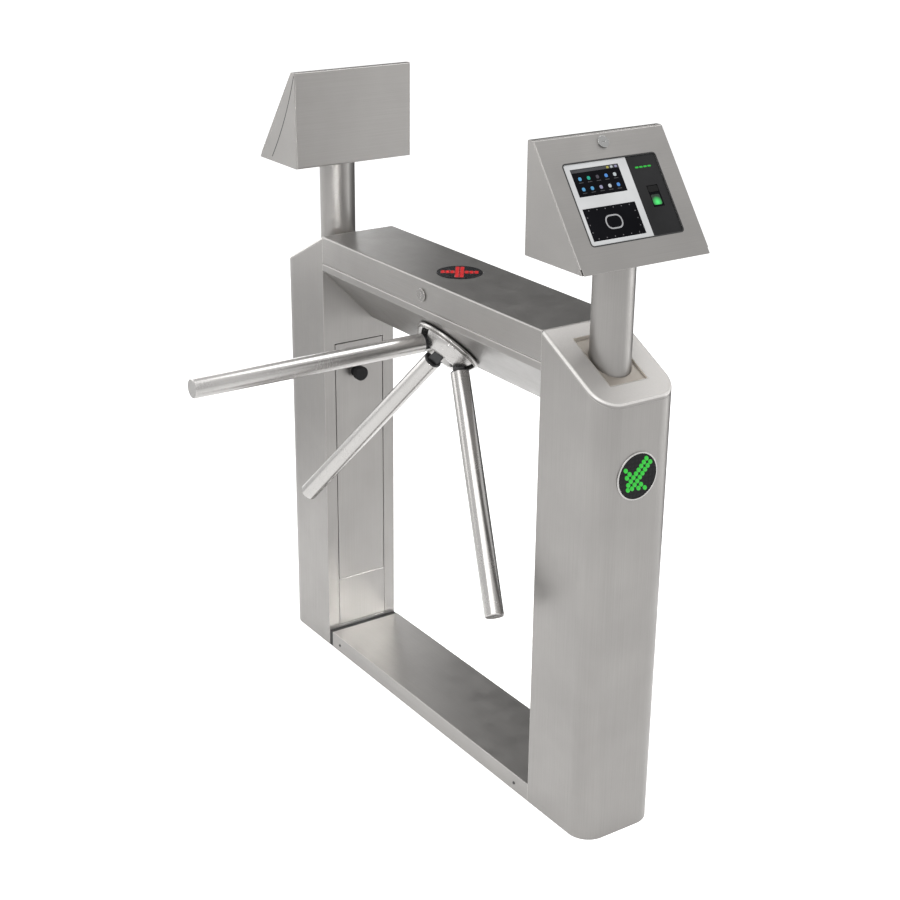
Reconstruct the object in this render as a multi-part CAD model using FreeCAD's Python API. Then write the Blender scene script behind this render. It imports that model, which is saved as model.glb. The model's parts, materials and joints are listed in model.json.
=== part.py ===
import FreeCAD, Part
import math
import os

# Tripod turnstile on a bridge-type cabinet. Millimetres, +Z up, origin on the floor midway
# between the posts. +X runs along the bridge to the near post, -Y is the side the arms reach to.

Vec = FreeCAD.Vector

# Cabinet
overall_length = 1132.0
cabinet_depth = 178.0
lid_height = 980.0
post_width = 178.0
post_corner_radius = 45.0
cap_drop = 93.0
cap_skirt = 8.0
cap_rim_radius = 6.0
sheet = 2.0

# Bridge section
band_height = 16.0
bridge_drop = 200.0
lip_inset = 2.5
lip_height = 22.0
bridge_bend_radius = 3.0

# Lid
lid_skirt = 58.0
lid_skirt_gap = 1.0
lid_bend_radius = 3.0
lid_end_gap = 0.5
lid_hinge_offset = 4.0
lid_knuckle_radius = 4.0
lid_hinge_spacing = 500.0
knuckle_length = 24.0
knuckle_gap = 0.4
hinge_leaf = 2.0
hinge_leaf_height = 18.0
hinge_pin_radius = 2.0
running_clearance = 0.05

# Floor base
base_thickness = 6.0
base_strip_width = 140.0
base_clearance = 0.5
anchor_spacing_x = 100.0
anchor_spacing_y = 120.0
anchor_hole_radius = 7.0
conduit_radius = 25.0
plinth_height = 38.0
plinth_seal_width = 14.0
plinth_seal_wall = 8.0
plinth_seal_recess = 1.0

# Doors in the posts' inner faces
door_opening_width = 124.0
door_top_drop = 245.0
door_seam = 161.0
panel_opening_bottom = 42.0
door_gap = 2.0
panel_gap = 0.8
door_return = 9.0
door_pivot_inset = 8.0
door_pivot_depth = 5.0
door_lug = 6.0
door_lug_margin = 8.0
door_sill_height = 6.0
door_sill_clearance = 1.0
door_lock_y = -9.0
door_lock_drop = 71.0
knob_radius = 16.0
knob_length = 27.0
knob_neck_radius = 11.0
knob_collar_radius = 13.0
knob_collar = 4.0
knob_bevel = 2.0
lock_barrel_radius = 9.0
door_cam_reach = 62.0
cam_width = 14.0
cam_thickness = 3.0
cam_clearance = 1.5
bridge_cable_radius = 20.0
bridge_cable_y = 40.0
bridge_cable_drop = 120.0

# Poles and pockets in the sloping caps
pole_radius = 38.0
pole_wall = 2.0
pole_flange_radius = 52.0
pole_flange = 5.0
pole_top_plate = 4.0
pole_fit = 0.3
pocket_length = 109.0
pocket_width = 84.0
pocket_drop = 77.0
pocket_inset = 29.0

# Reader boxes: upright back, sloping front that hinges at its lower edge
reader_width = 281.0
reader_lift = 147.0
reader_height = 198.0
reader_back_inset = 9.0
reader_base_depth = 163.0
reader_top_depth = 17.0
reader_bend_radius = 3.0
panel_edge_radius = 1.5
panel_seat_gap = 0.5
panel_side_gap = 1.0
panel_return = 10.0
panel_pivot_up = 9.0
panel_pivot_in = 5.0
panel_swing_gap = 0.5
panel_lip_reach = 9.0
panel_corner_notch = 12.5
reader_lock_from_top = 17.5
reader_lock_head = 11.0
reader_lock_head_height = 2.5
reader_cam_reach = 16.0
reader_cam_depth = 10.0
keeper_width = 60.0
keeper_gap = 1.2

# Access terminal in the reader panel
terminal_width = 200.0
terminal_height = 148.0
terminal_from_top = 49.5
terminal_recess = 1.0
terminal_depth = 36.0
terminal_flange = 6.0
terminal_flange_thickness = 3.0
terminal_fit = 1.0
terminal_corner_radius = 5.0
glass_thickness = 1.6
glass_fit = 0.2
screen_side_margin = 11.8
screen_top_margin = 10.0
screen_width_share = 0.763
screen_height_share = 0.338
window_side_margin = 7.9
window_bottom_margin = 7.75
window_width_share = 0.837
window_height_share = 0.395
strip_width = 65.0
strip_thickness = 3.0
sensor_size = (24.0, 40.0)
sensor_offset = (2.0, 3.5)
sensor_recess = 1.0

# Round indicators
indicator_radius = 46.0
indicator_cup_radius = 41.5
indicator_cup_wall = 2.0
indicator_cup_depth = 24.0
indicator_flange = 1.2
indicator_fit = 0.5
indicator_drop = 235.0
indicator_shift = -5.0
bezel_width = 3.0
bezel_height = 2.0
bezel_gap = 0.3
led_board = 1.6
led_plug = (16.0, 10.0, 6.0)

# Rotor: hub, arms and shaft on an axis tilted 45 degrees, square to the bridge's sloping face
hub_drop = 142.0
arm_cone_angle = 45.0
arm_turns = {"arm_1": -90.0, "arm_2": 150.0, "arm_3": 30.0}
arm_apex_depth = 17.0
arm_radius = 19.0
arm_wall = 2.0
arm_reach = 579.0
arm_end_plate = 3.0
arm_end_chamfer = 1.5
arm_pin_distance = 56.6
arm_collar_start = 19.5
arm_collar = 4.5
arm_collar_chamfer = 2.5
arm_spigot = 36.0
arm_spigot_fit = 0.1
tongue_thickness = 22.0
tongue_radius = 11.0
tongue_clearance = 0.5
arm_pin_radius = 5.0
flange_radius = 74.0
flange_gap = 3.0
flange_thickness = 6.0
flange_edge_radius = 2.0
hub_rim_radius = 70.0
hub_rim_height = 4.0
hub_back_chamfer = 1.0
hub_crown_height = 27.0
hub_crown_bore = 33.0
hub_dome_bulge = 3.0
hub_dish_radius = 22.0
hub_dish_height = 12.0
hub_edge_radius = 2.0
hub_spigot_depth = 7.0

# Mechanism behind the sloping face, heights measured along the rotor axis from that face
shaft_radius = 15.0
shaft_end_radius = 12.0
frame_plate = 8.0
frame_plate_x = (-112.0, 104.0)
frame_plate_y = (-80.0, 70.0)
housing_radius = 38.0
housing_length = 52.0
housing_nose = 1.5
housing_opening_fit = 6.0
bearing_radius = 27.5
bearing_width = 13.0
bearing_front = 4.0
bearing_rear = 36.0
bearing_shoulder = 24.0
bearing_fit = 0.05
rib_thickness = 6.0
rib_reach = 24.0
rib_height = 30.0
lock_disc_height = 56.0
lock_disc_thickness = 8.0
lock_disc_radius = 42.0
lock_disc_notches = 12
notch_width = 12.0
notch_depth = 7.0
lock_disc_collar = 22.0
gear_height = 70.0
gear_width = 10.0
gear_module = 2.0
gear_teeth = 54
pinion_teeth = 18
pressure_angle = 20.0
gear_backlash = 0.25
gear_boss_radius = 20.0
pinion_overhang = 1.0
motor_radius = 28.0
motor_length = 42.0
motor_boss_radius = 9.0
motor_boss = 4.0
motor_shaft_radius = 4.0
motor_shaft_depth = 8.0
motor_chamfer = 2.0
disc_collar_radius = 18.0
disc_collar = 10.0
sensor_disc_radius = 46.0
sensor_disc_thickness = 2.0
sensor_disc_lift = 6.0
sensor_window = (5.0, 12.0)
shaft_nut_across_flats = 36.0
shaft_nut = 8.0
pawl_nose_gap = 1.2
pawl_arm = 38.0
pawl_angle = 150.0
pawl_nose_width = 9.0
pawl_nose_length = 13.8
pawl_bar_width = 8.0
pawl_thickness = 7.6
pawl_boss_radius = 10.0
pawl_post_radius = 8.0
pawl_pin_radius = 5.0
pawl_pin_head = 4.0
armature_x = -74.0
armature_y = 62.0
armature_size = (24.0, 4.0, 24.0)
magnet_face_y = 48.0
magnet_radius = 13.0
magnet_length = 34.0
magnet_core_radius = 5.0
bracket_half_length = 16.0
bracket_height = 64.0
sensor_body_width = 16.0
sensor_body_height = 19.0
sensor_slot = 5.0
sensor_arm_reach = 20.0

# Lid lock
lid_lock_drop = 32.0
lid_lock_head = 13.5
lid_lock_head_height = 2.5
lid_lock_barrel = 10.0
lid_lock_depth = 17.0
lid_cam_reach = 34.0
lip_notch_margin = 3.0
keeper_start = 16.0
keeper_length = 24.0
keeper_reach = 18.0
keeper_lift = 2.0
lock_head_gap = 0.2

# Electronics in the posts
board_width = 90.0
board_height = 180.0
board_bottom = 330.0
board_thickness = 1.6
board_standoff = 10.0
standoff_radius = 4.0
standoff_inset = 8.0
relay_size = (16.0, 20.0, 28.0)
relay_count = 4
terminal_strip = (12.0, 10.0, 120.0)
terminal_strip_lift = 24.0
board_chip_size = 30.0
board_chip_lift = 40.0
supply_depth = 40.0
supply_width = 86.0
supply_height = 160.0
supply_foot = 2.0
supply_foot_reach = 12.0
vent_slot = (3.0, 60.0)
vent_pitch = 9.0
vent_count = 9

# Derived places
half_length = overall_length / 2
half_depth = cabinet_depth / 2
inner_x = half_length - post_width
post_centre_x = inner_x + post_width / 2
band_top = lid_height - lid_skirt - lid_skirt_gap
band_bottom = band_top - band_height
bridge_bottom = lid_height - bridge_drop
hub_centre_z = lid_height - hub_drop
lid_lock_z = lid_height - lid_lock_drop
bridge_cable_z = lid_height - bridge_cable_drop
pocket_floor = lid_height - pocket_drop
indicator_z = lid_height - indicator_drop
door_opening_top = lid_height - door_top_drop
door_lock_z = door_opening_top - door_lock_drop
slope_sum = band_bottom - half_depth
hub_centre_y = slope_sum - hub_centre_z
pole_x = inner_x + pocket_inset + pocket_length / 2
door_half = door_opening_width / 2
pivot_x = inner_x + door_pivot_depth
pivot_y = door_half - door_gap - door_pivot_inset
lid_hinge_y = half_depth + lid_hinge_offset
reader_bottom = lid_height + reader_lift
reader_top = reader_bottom + reader_height
reader_back_x = inner_x + reader_back_inset
reader_front_x = reader_back_x + reader_base_depth
reader_half = reader_width / 2
panel_rise = reader_height
panel_run = reader_base_depth - reader_top_depth
panel_length = math.hypot(panel_rise, panel_run)
panel_up = (-panel_run / panel_length, panel_rise / panel_length)
panel_in = (-panel_up[1], panel_up[0])
reader_lock_up = panel_length - reader_lock_from_top
pinion_centre = gear_module * (gear_teeth + pinion_teeth) / 2
hub_back = flange_gap + flange_thickness
cone_sine = math.sin(math.radians(arm_cone_angle))
pin_radial = arm_pin_distance * cone_sine
pin_forward = arm_pin_distance * math.cos(math.radians(arm_cone_angle)) - arm_apex_depth
plate_top = sheet + frame_plate


# Building blocks

def block(x0, x1, y0, y1, z0, z1):
    return Part.makeBox(x1 - x0, y1 - y0, z1 - z0, Vec(x0, y0, z0))


def rod(radius, start, end):
    return Part.makeCylinder(radius, (end - start).Length, start, end - start)


def upright(radius, x, y, z0, z1):
    return rod(radius, Vec(x, y, z0), Vec(x, y, z1))


def closed_face(points):
    return Part.Face(Part.makePolygon(points + [points[0]]))


def side_plate(outline, y0, y1):
    # An outline of X and Z, as thick as y0 to y1.
    return closed_face([Vec(x, y0, z) for x, z in outline]).extrude(Vec(0, y1 - y0, 0))


def long_section(outline, x0, x1):
    # An outline of Y and Z, run along the bridge.
    return closed_face([Vec(x0, y, z) for y, z in outline]).extrude(Vec(x1 - x0, 0, 0))


def turned(outline):
    # An outline of radius and height, turned about Z.
    return closed_face([Vec(r, 0, z) for r, z in outline]).revolve(Vec(0, 0, 0), Vec(0, 0, 1), 360)


def bar(start, end, width, z0, z1):
    # A straight bar between two points of the XY plane.
    along = Vec(end[0] - start[0], end[1] - start[1], 0)
    side = Vec(-along.y, along.x, 0).normalize() * (width / 2)
    base = Vec(start[0], start[1], z0)
    corners = [base - side, base + along - side, base + along + side, base + side]
    return closed_face(corners).extrude(Vec(0, 0, z1 - z0))


def fused(first, *others):
    return first.fuse(list(others)).removeSplitter()


def spun(shape, degrees, axis=Vec(0, 0, 1), centre=Vec(0, 0, 0)):
    copy = shape.copy()
    copy.rotate(centre, axis, degrees)
    return copy


def mirrored(shape):
    return shape.mirror(Vec(0, 0, 0), Vec(1, 0, 0))


def offset_path(points, distance):
    # A bent sheet's other face: each bend is mitred at the sheet's thickness.
    normals = []
    for (y0, z0), (y1, z1) in zip(points, points[1:]):
        span = math.hypot(y1 - y0, z1 - z0)
        normals.append((-(z1 - z0) / span, (y1 - y0) / span))
    shifted = []
    for index, (y, z) in enumerate(points):
        before = normals[max(index - 1, 0)]
        after = normals[min(index, len(normals) - 1)]
        scale = distance / (1 + before[0] * after[0] + before[1] * after[1])
        shifted.append((y + scale * (before[0] + after[0]), z + scale * (before[1] + after[1])))
    return shifted


def tilted(shape):
    # From the rotor's own frame (origin on the sloping face, +Z into the bridge) to the cabinet.
    moved = shape.copy()
    place = FreeCAD.Placement(Vec(0, hub_centre_y, hub_centre_z), FreeCAD.Rotation(Vec(1, 0, 0), -45))
    moved.Placement = place.multiply(moved.Placement)
    return moved


# Posts

def cap_height(x, lower=0.0):
    return lid_height - cap_drop * (x - inner_x) / post_width - lower


def under_slope(lower):
    x0 = inner_x - post_width
    x1 = half_length + post_width
    outline = [(x0, -post_width), (x1, -post_width), (x1, cap_height(x1, lower)),
               (x0, cap_height(x0, lower))]
    return side_plate(outline, -cabinet_depth, cabinet_depth)


def post_plan(inset):
    x0 = inner_x + inset
    x1 = half_length - inset
    y = half_depth - inset
    r = post_corner_radius - inset
    bulge = r * (1 - math.sqrt(0.5))
    edges = [
        Part.LineSegment(Vec(x0, -y, 0), Vec(x1 - r, -y, 0)),
        Part.Arc(Vec(x1 - r, -y, 0), Vec(x1 - bulge, -y + bulge, 0), Vec(x1, -y + r, 0)),
        Part.LineSegment(Vec(x1, -y + r, 0), Vec(x1, y - r, 0)),
        Part.Arc(Vec(x1, y - r, 0), Vec(x1 - bulge, y - bulge, 0), Vec(x1 - r, y, 0)),
        Part.LineSegment(Vec(x1 - r, y, 0), Vec(x0, y, 0)),
        Part.LineSegment(Vec(x0, y, 0), Vec(x0, -y, 0)),
    ]
    return Part.Face(Part.Wire([edge.toShape() for edge in edges]))


def post_core(inset):
    return post_plan(inset).extrude(Vec(0, 0, lid_height))


def post_shell():
    shell = post_core(0).common(under_slope(cap_skirt)).cut(post_core(sheet))
    x0 = inner_x - sheet
    x1 = inner_x + 2 * sheet
    strip_half = base_strip_width / 2 + base_clearance
    openings = [
        block(x0, x1, -door_half, door_half, panel_opening_bottom, door_opening_top),
        block(x0, x1, -strip_half, strip_half, -base_thickness, base_thickness + base_clearance),
        rod(bridge_cable_radius, Vec(x0, bridge_cable_y, bridge_cable_z),
            Vec(x1, bridge_cable_y, bridge_cable_z)),
        rod(indicator_cup_radius + indicator_fit,
            Vec(half_length - 2 * sheet, indicator_shift, indicator_z),
            Vec(half_length + sheet, indicator_shift, indicator_z)),
    ]
    sill_top = door_seam + door_gap / 2 - door_sill_clearance
    lug_end = door_half + door_lug_margin
    sill = block(inner_x + sheet, inner_x + door_return, -lug_end, lug_end, sill_top - door_sill_height,
                 sill_top)
    lug = block(inner_x + sheet, inner_x + door_return, pivot_y - door_lug_margin, lug_end,
                door_opening_top, door_opening_top + door_lug)
    pin_bore = upright(hinge_pin_radius, pivot_x, pivot_y, panel_opening_bottom, lid_height - cap_drop)
    return fused(shell.cut(openings), sill, lug).cut(pin_bore)


def cap_block(inset, lower, radius):
    core = post_core(inset).common(under_slope(lower))
    rim = []
    for edge in core.Edges:
        ends = edge.Vertexes
        on_slope = all(abs(v.Z - cap_height(v.X, lower)) < 1e-4 for v in ends)
        at_lid = all(abs(v.X - inner_x - inset) < 1e-4 for v in ends)
        if on_slope and not at_lid:
            rim.append(edge)
    return core.makeFillet(radius, rim)


def post_cap():
    slant = math.hypot(post_width, cap_drop) / post_width
    cap = cap_block(0, 0, cap_rim_radius).cut(cap_block(sheet, sheet * slant, cap_rim_radius - sheet))
    cap = cap.cut(under_slope(cap_skirt))
    x0 = inner_x + pocket_inset
    x1 = x0 + pocket_length
    y = pocket_width / 2
    tray = block(x0 - sheet, x1 + sheet, -y - sheet, y + sheet, pocket_floor - sheet, lid_height)
    well = block(x0, x1, -y, y, pocket_floor, lid_height + sheet)
    pole_hole = upright(pole_radius + pole_fit, pole_x, 0, pocket_floor - 2 * sheet, pocket_floor + sheet)
    return fused(cap, tray.common(under_slope(sheet / 2))).cut([well, pole_hole])


def pole():
    foot = pocket_floor - sheet - pole_flange
    bore = pole_radius - pole_wall
    cable_hole = pole_radius / 2
    wall = [(bore, foot), (pole_flange_radius, foot), (pole_flange_radius, foot + pole_flange),
            (pole_radius, foot + pole_flange), (pole_radius, reader_bottom), (cable_hole, reader_bottom),
            (cable_hole, reader_bottom - pole_top_plate), (bore, reader_bottom - pole_top_plate)]
    tube = turned(wall)
    tube.translate(Vec(pole_x, 0, 0))
    return tube


# Floor base

def base_plate():
    pad = post_plan(sheet + base_clearance).extrude(Vec(0, 0, base_thickness))
    half_strip = base_strip_width / 2
    strip = block(-post_centre_x, post_centre_x, -half_strip, half_strip, 0, base_thickness)
    plate = fused(strip, pad, mirrored(pad))
    through = 2 * base_thickness
    holes = []
    for side in (-1, 1):
        centre = side * post_centre_x
        holes.append(upright(conduit_radius, centre, 0, -base_thickness, through))
        for dx in (-anchor_spacing_x / 2, anchor_spacing_x / 2):
            for dy in (-anchor_spacing_y / 2, anchor_spacing_y / 2):
                holes.append(upright(anchor_hole_radius, centre + dx, dy, -base_thickness, through))
    return plate.cut(holes)


def inverted_channel(half_width, height, wall, x0, x1):
    outer = block(x0, x1, -half_width, half_width, 0, height)
    inner_half = half_width - wall
    return outer.cut(block(x0 - wall, x1 + wall, -inner_half, inner_half, -wall, height - wall))


def plinth_cover():
    return inverted_channel(half_depth, plinth_height, sheet, -inner_x + plinth_seal_width, inner_x)


def plinth_seal():
    return inverted_channel(half_depth - plinth_seal_recess, plinth_height - plinth_seal_recess,
                            plinth_seal_wall, -inner_x, -inner_x + plinth_seal_width)


# Bridge and lid

def hinge_stations():
    return (-lid_hinge_spacing / 2, lid_hinge_spacing / 2)


def lid_knuckle(x0, x1, leaf_up):
    axis_y = lid_hinge_y
    roll = rod(lid_knuckle_radius, Vec(x0, axis_y, band_top), Vec(x1, axis_y, band_top))
    z0 = band_top if leaf_up else band_top - hinge_leaf_height
    leaf = block(x0, x1, half_depth, half_depth + hinge_leaf, z0, z0 + hinge_leaf_height)
    bore = rod(hinge_pin_radius + running_clearance, Vec(x0, axis_y, band_top), Vec(x1, axis_y, band_top))
    return roll.fuse(leaf).cut(bore)


def bridge_housing():
    front_lip = half_depth - sheet - lip_inset
    outer = [(-front_lip, band_top + lip_height), (-front_lip, band_top), (-half_depth, band_top),
             (-half_depth, band_bottom), (slope_sum - bridge_bottom, bridge_bottom),
             (half_depth, bridge_bottom), (half_depth, band_top), (front_lip, band_top),
             (front_lip, band_top + lip_height)]
    inner = offset_path(outer, sheet)
    housing = long_section(outer + inner[::-1], -inner_x, inner_x)
    bends = [e for e in housing.Edges if any(math.dist((e.Vertexes[0].Y, e.Vertexes[0].Z), bend) < 1e-4
                                             and math.dist((e.Vertexes[1].Y, e.Vertexes[1].Z), bend) < 1e-4
                                             for bend in outer[2:7])]
    housing = housing.makeFillet(bridge_bend_radius, bends)
    window = tilted(upright(housing_radius + housing_opening_fit, 0, 0, -sheet, 2 * sheet))
    notch_half = lid_lock_barrel + lip_notch_margin
    notch = block(-notch_half, notch_half, -half_depth, -front_lip + 2 * sheet, lid_lock_z - notch_half,
                  lid_height)
    leg_y = -front_lip + sheet
    keeper_z = lid_lock_z + cam_width / 2 + keeper_lift
    keeper_end = keeper_start + keeper_length
    keeper_top = keeper_z + sheet
    leg = block(keeper_start, keeper_end, leg_y, leg_y + sheet, band_top, keeper_top)
    shelf = block(keeper_start, keeper_end, leg_y, leg_y + keeper_reach, keeper_z, keeper_top)
    knuckles = []
    for x in hinge_stations():
        for offset in (-knuckle_length - knuckle_gap, knuckle_length + knuckle_gap):
            start = x + offset - knuckle_length / 2
            knuckles.append(lid_knuckle(start, start + knuckle_length, False))
    return fused(housing.cut([window, notch]), leg, shelf, *knuckles)


def top_lid():
    x = inner_x - lid_end_gap
    skirt_end = lid_height - lid_skirt
    outer = block(-x, x, -half_depth, half_depth, skirt_end, lid_height)
    bends = [e for e in outer.Edges if all(abs(v.Z - lid_height) < 1e-6 for v in e.Vertexes)
             and abs(e.Vertexes[0].Y - e.Vertexes[1].Y) < 1e-6]
    outer = outer.makeFillet(lid_bend_radius, bends)
    inner = block(-x - sheet, x + sheet, -half_depth + sheet, half_depth - sheet, 0, lid_height - sheet)
    knuckles = [lid_knuckle(x - knuckle_length / 2, x + knuckle_length / 2, True) for x in hinge_stations()]
    indicator_hole = upright(indicator_cup_radius + indicator_fit, 0, 0, skirt_end, lid_height + sheet)
    lock_hole = rod(lid_lock_barrel + running_clearance, Vec(0, -half_depth - sheet, lid_lock_z),
                    Vec(0, -half_depth + 2 * sheet, lid_lock_z))
    return fused(outer.cut(inner), *knuckles).cut([indicator_hole, lock_hole])


def lid_lock():
    # Key lock through the front skirt, its cam hanging down inside.
    face = -half_depth - lock_head_gap
    head = rod(lid_lock_head, Vec(0, face - lid_lock_head_height, lid_lock_z), Vec(0, face, lid_lock_z))
    head = head.makeChamfer(lid_lock_head_height / 3, [head.Edges[0]])
    barrel = rod(lid_lock_barrel, Vec(0, face, lid_lock_z), Vec(0, face + lid_lock_depth, lid_lock_z))
    y0 = face + lid_lock_depth
    cam = block(-cam_width / 2, cam_width / 2, y0, y0 + cam_thickness, lid_lock_z - lid_cam_reach,
                lid_lock_z + cam_width / 2)
    key_slot = block(-cam_thickness / 4, cam_thickness / 4, face - 2 * lid_lock_head_height,
                     face - lid_lock_head_height / 2, lid_lock_z - lid_lock_barrel / 2,
                     lid_lock_z + lid_lock_barrel / 2)
    return fused(head, barrel, cam).cut(key_slot)


# Doors and panels in the posts

def door():
    y = door_half - door_gap
    z0 = door_seam + door_gap / 2
    z1 = door_opening_top - door_gap
    pan = block(inner_x, inner_x + door_return, -y, y, z0, z1)
    hollow = block(inner_x + sheet, inner_x + 2 * door_return, -y + sheet, y - sheet, z0 + sheet,
                   z1 - sheet)
    pivot = upright(hinge_pin_radius + running_clearance, pivot_x, pivot_y, z0 - sheet, z1 + sheet)
    lock_hole = rod(lock_barrel_radius + running_clearance, Vec(inner_x - sheet, door_lock_y, door_lock_z),
                    Vec(inner_x + 2 * sheet, door_lock_y, door_lock_z))
    return pan.cut([hollow, pivot, lock_hole])


def door_knob():
    # Turned knob on the door's face, barrel through the door, cam hanging down behind the returns.
    face = inner_x - lock_head_gap
    cam_x = inner_x + door_return + cam_clearance
    grip = knob_length / 2
    collar = knob_length - knob_collar
    end = knob_length + cam_x - face
    profile = [(0, 0), (knob_radius - knob_bevel, 0), (knob_radius, knob_bevel), (knob_radius, grip),
               (knob_neck_radius, grip + knob_bevel), (knob_neck_radius, collar),
               (knob_collar_radius, collar), (knob_collar_radius, knob_length),
               (lock_barrel_radius, knob_length), (lock_barrel_radius, end), (0, end)]
    knob = spun(turned(profile), 90, Vec(0, 1, 0))
    knob.translate(Vec(face - knob_length, door_lock_y, door_lock_z))
    cam = block(cam_x, cam_x + cam_thickness, door_lock_y - cam_width / 2, door_lock_y + cam_width / 2,
                door_lock_z - door_cam_reach, door_lock_z + cam_width / 2)
    return fused(knob, cam)


def lower_panel():
    y = door_half - panel_gap
    z1 = door_seam - door_gap / 2
    return block(inner_x, inner_x + sheet, -y, y, panel_opening_bottom + panel_gap, z1)


def door_pins():
    sill_top = door_seam + door_gap / 2 - door_sill_clearance
    low = (sill_top - door_sill_height, door_seam + door_return / 2)
    high = (door_opening_top - door_return / 2, door_opening_top + door_lug)
    return [upright(hinge_pin_radius, pivot_x, pivot_y, z0, z1) for z0, z1 in (low, high)]


# Reader boxes

def panel_point(up, depth):
    # A place on the sloping front: distance up from its lower edge, and depth behind its face.
    return (reader_front_x + up * panel_up[0] + depth * panel_in[0],
            reader_bottom + up * panel_up[1] + depth * panel_in[1])


def panel_slab(up0, up1, depth0, depth1, y0, y1):
    corners = [panel_point(up0, depth0), panel_point(up1, depth0), panel_point(up1, depth1),
               panel_point(up0, depth1)]
    return side_plate(corners, y0, y1)


def panel_rod(radius, up, y, depth0, depth1):
    x0, z0 = panel_point(up, depth0)
    x1, z1 = panel_point(up, depth1)
    return rod(radius, Vec(x0, y, z0), Vec(x1, y, z1))


def panel_front_x(z, depth):
    return reader_front_x - (z - reader_bottom) * panel_run / panel_rise - depth / panel_up[1]


def panel_pins():
    x, z = panel_point(panel_pivot_up, panel_pivot_in)
    outer = reader_half - panel_seat_gap
    inner = reader_half - 2 * sheet - 2 * panel_side_gap - sheet
    return [rod(hinge_pin_radius, Vec(x, side * inner, z), Vec(x, side * outer, z)) for side in (-1, 1)]


def pin_bores(radius):
    x, z = panel_point(panel_pivot_up, panel_pivot_in)
    inner = reader_half - 3 * sheet - 3 * panel_side_gap
    outer = reader_half - panel_seat_gap
    return [rod(radius, Vec(x, side * inner, z), Vec(x, side * outer, z)) for side in (-1, 1)]


def swing_radius():
    return math.hypot(panel_pivot_up, panel_pivot_in) + panel_swing_gap


def reader_box():
    seat = sheet + panel_seat_gap
    outline = [(reader_back_x, reader_bottom), (panel_front_x(reader_bottom, seat), reader_bottom),
               (panel_front_x(reader_top, seat), reader_top), (reader_back_x, reader_top)]
    shell = side_plate(outline, -reader_half, reader_half)
    bends = [e for e in shell.Edges if all(abs(v.X - reader_back_x) < 1e-4 for v in e.Vertexes)]
    shell = shell.makeFillet(reader_bend_radius, bends)
    inside = reader_half - sheet
    hollow = block(reader_back_x + sheet, reader_front_x + sheet, -inside, inside, reader_bottom + sheet,
                   reader_top - sheet)
    pivot = panel_point(panel_pivot_up, panel_pivot_in)
    mouth = block(pivot[0] - swing_radius(), reader_front_x, -inside, inside, reader_bottom - sheet,
                  reader_bottom + 2 * sheet)
    cable_hole = upright(pole_radius / 2, pole_x, 0, reader_bottom - sheet, reader_bottom + 2 * sheet)
    keeper_depth = reader_cam_depth - keeper_gap - sheet
    keeper = panel_slab(reader_lock_up + lock_barrel_radius + keeper_gap, panel_length, keeper_depth,
                        keeper_depth + sheet, -keeper_width / 2, keeper_width / 2)
    tie_x = panel_point(panel_length, keeper_depth + sheet)[0]
    tie = block(tie_x, panel_point(panel_length, keeper_depth)[0], -keeper_width / 2, keeper_width / 2,
                panel_point(panel_length, keeper_depth)[1] - sheet, reader_top - sheet)
    shell = shell.cut([hollow, mouth, cable_hole] + pin_bores(hinge_pin_radius))
    return fused(shell, keeper, tie)


def reader_panel():
    plate = side_plate([(reader_front_x, reader_bottom), panel_point(panel_length, 0),
                        panel_point(panel_length, sheet),
                        (panel_front_x(reader_bottom, sheet), reader_bottom)], -reader_half, reader_half)
    rim = []
    for edge in plate.Edges:
        on_front = all(abs(v.X - panel_front_x(v.Z, 0)) < 1e-4 for v in edge.Vertexes)
        if on_front and max(v.Z for v in edge.Vertexes) > reader_bottom + sheet:
            rim.append(edge)
    plate = plate.makeFillet(panel_edge_radius, rim)
    inside = reader_half - sheet - panel_side_gap
    pivot = panel_point(panel_pivot_up, panel_pivot_in)
    lip_x = pivot[0] - panel_lip_reach
    lip = side_plate([(lip_x, reader_bottom), (reader_front_x, reader_bottom),
                      (panel_front_x(reader_bottom + sheet, 0), reader_bottom + sheet),
                      (lip_x, reader_bottom + sheet)], -inside, inside)
    above_lip = block(reader_back_x, reader_front_x, -reader_half, reader_half, reader_bottom + sheet / 2,
                      reader_top)
    returns = []
    for side in (-1, 1):
        edges = sorted((side * inside, side * (inside - sheet)))
        flange = panel_slab(panel_pivot_up / 2, panel_length - reader_lock_from_top, sheet / 2,
                            panel_return + sheet, *edges)
        returns.append(flange.common(above_lip))
    opening = terminal_prism(-sheet, 2 * sheet, terminal_fit)
    lock_hole = panel_rod(lock_barrel_radius + running_clearance, reader_lock_up, 0, -sheet, 2 * sheet)
    # The lower corners are notched, so that the plate clears the box's cheeks as it folds down.
    notches = [panel_slab(-sheet, panel_corner_notch, -sheet, 2 * sheet, y0, y1)
               for y0, y1 in ((-reader_half, -inside), (inside, reader_half))]
    cuts = [opening, lock_hole] + notches + pin_bores(hinge_pin_radius + running_clearance)
    return fused(plate, lip, *returns).cut(cuts)


def reader_lock():
    head = panel_rod(reader_lock_head, reader_lock_up, 0, -reader_lock_head_height - lock_head_gap,
                     -lock_head_gap)
    barrel = panel_rod(lock_barrel_radius, reader_lock_up, 0, -lock_head_gap, reader_cam_depth)
    cam = panel_slab(reader_lock_up - cam_width / 2, reader_lock_up + cam_width / 2, reader_cam_depth,
                     reader_cam_depth + cam_thickness, -cam_width / 2, reader_cam_reach)
    slot_half = lock_barrel_radius / 2
    key_slot = panel_slab(reader_lock_up - cam_thickness / 4, reader_lock_up + cam_thickness / 4,
                          -2 * reader_lock_head_height, -reader_lock_head_height / 2, -slot_half, slot_half)
    return fused(head, barrel, cam).cut(key_slot)


# Access terminal

def terminal_bottom_up():
    return panel_length - terminal_from_top - terminal_height


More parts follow.
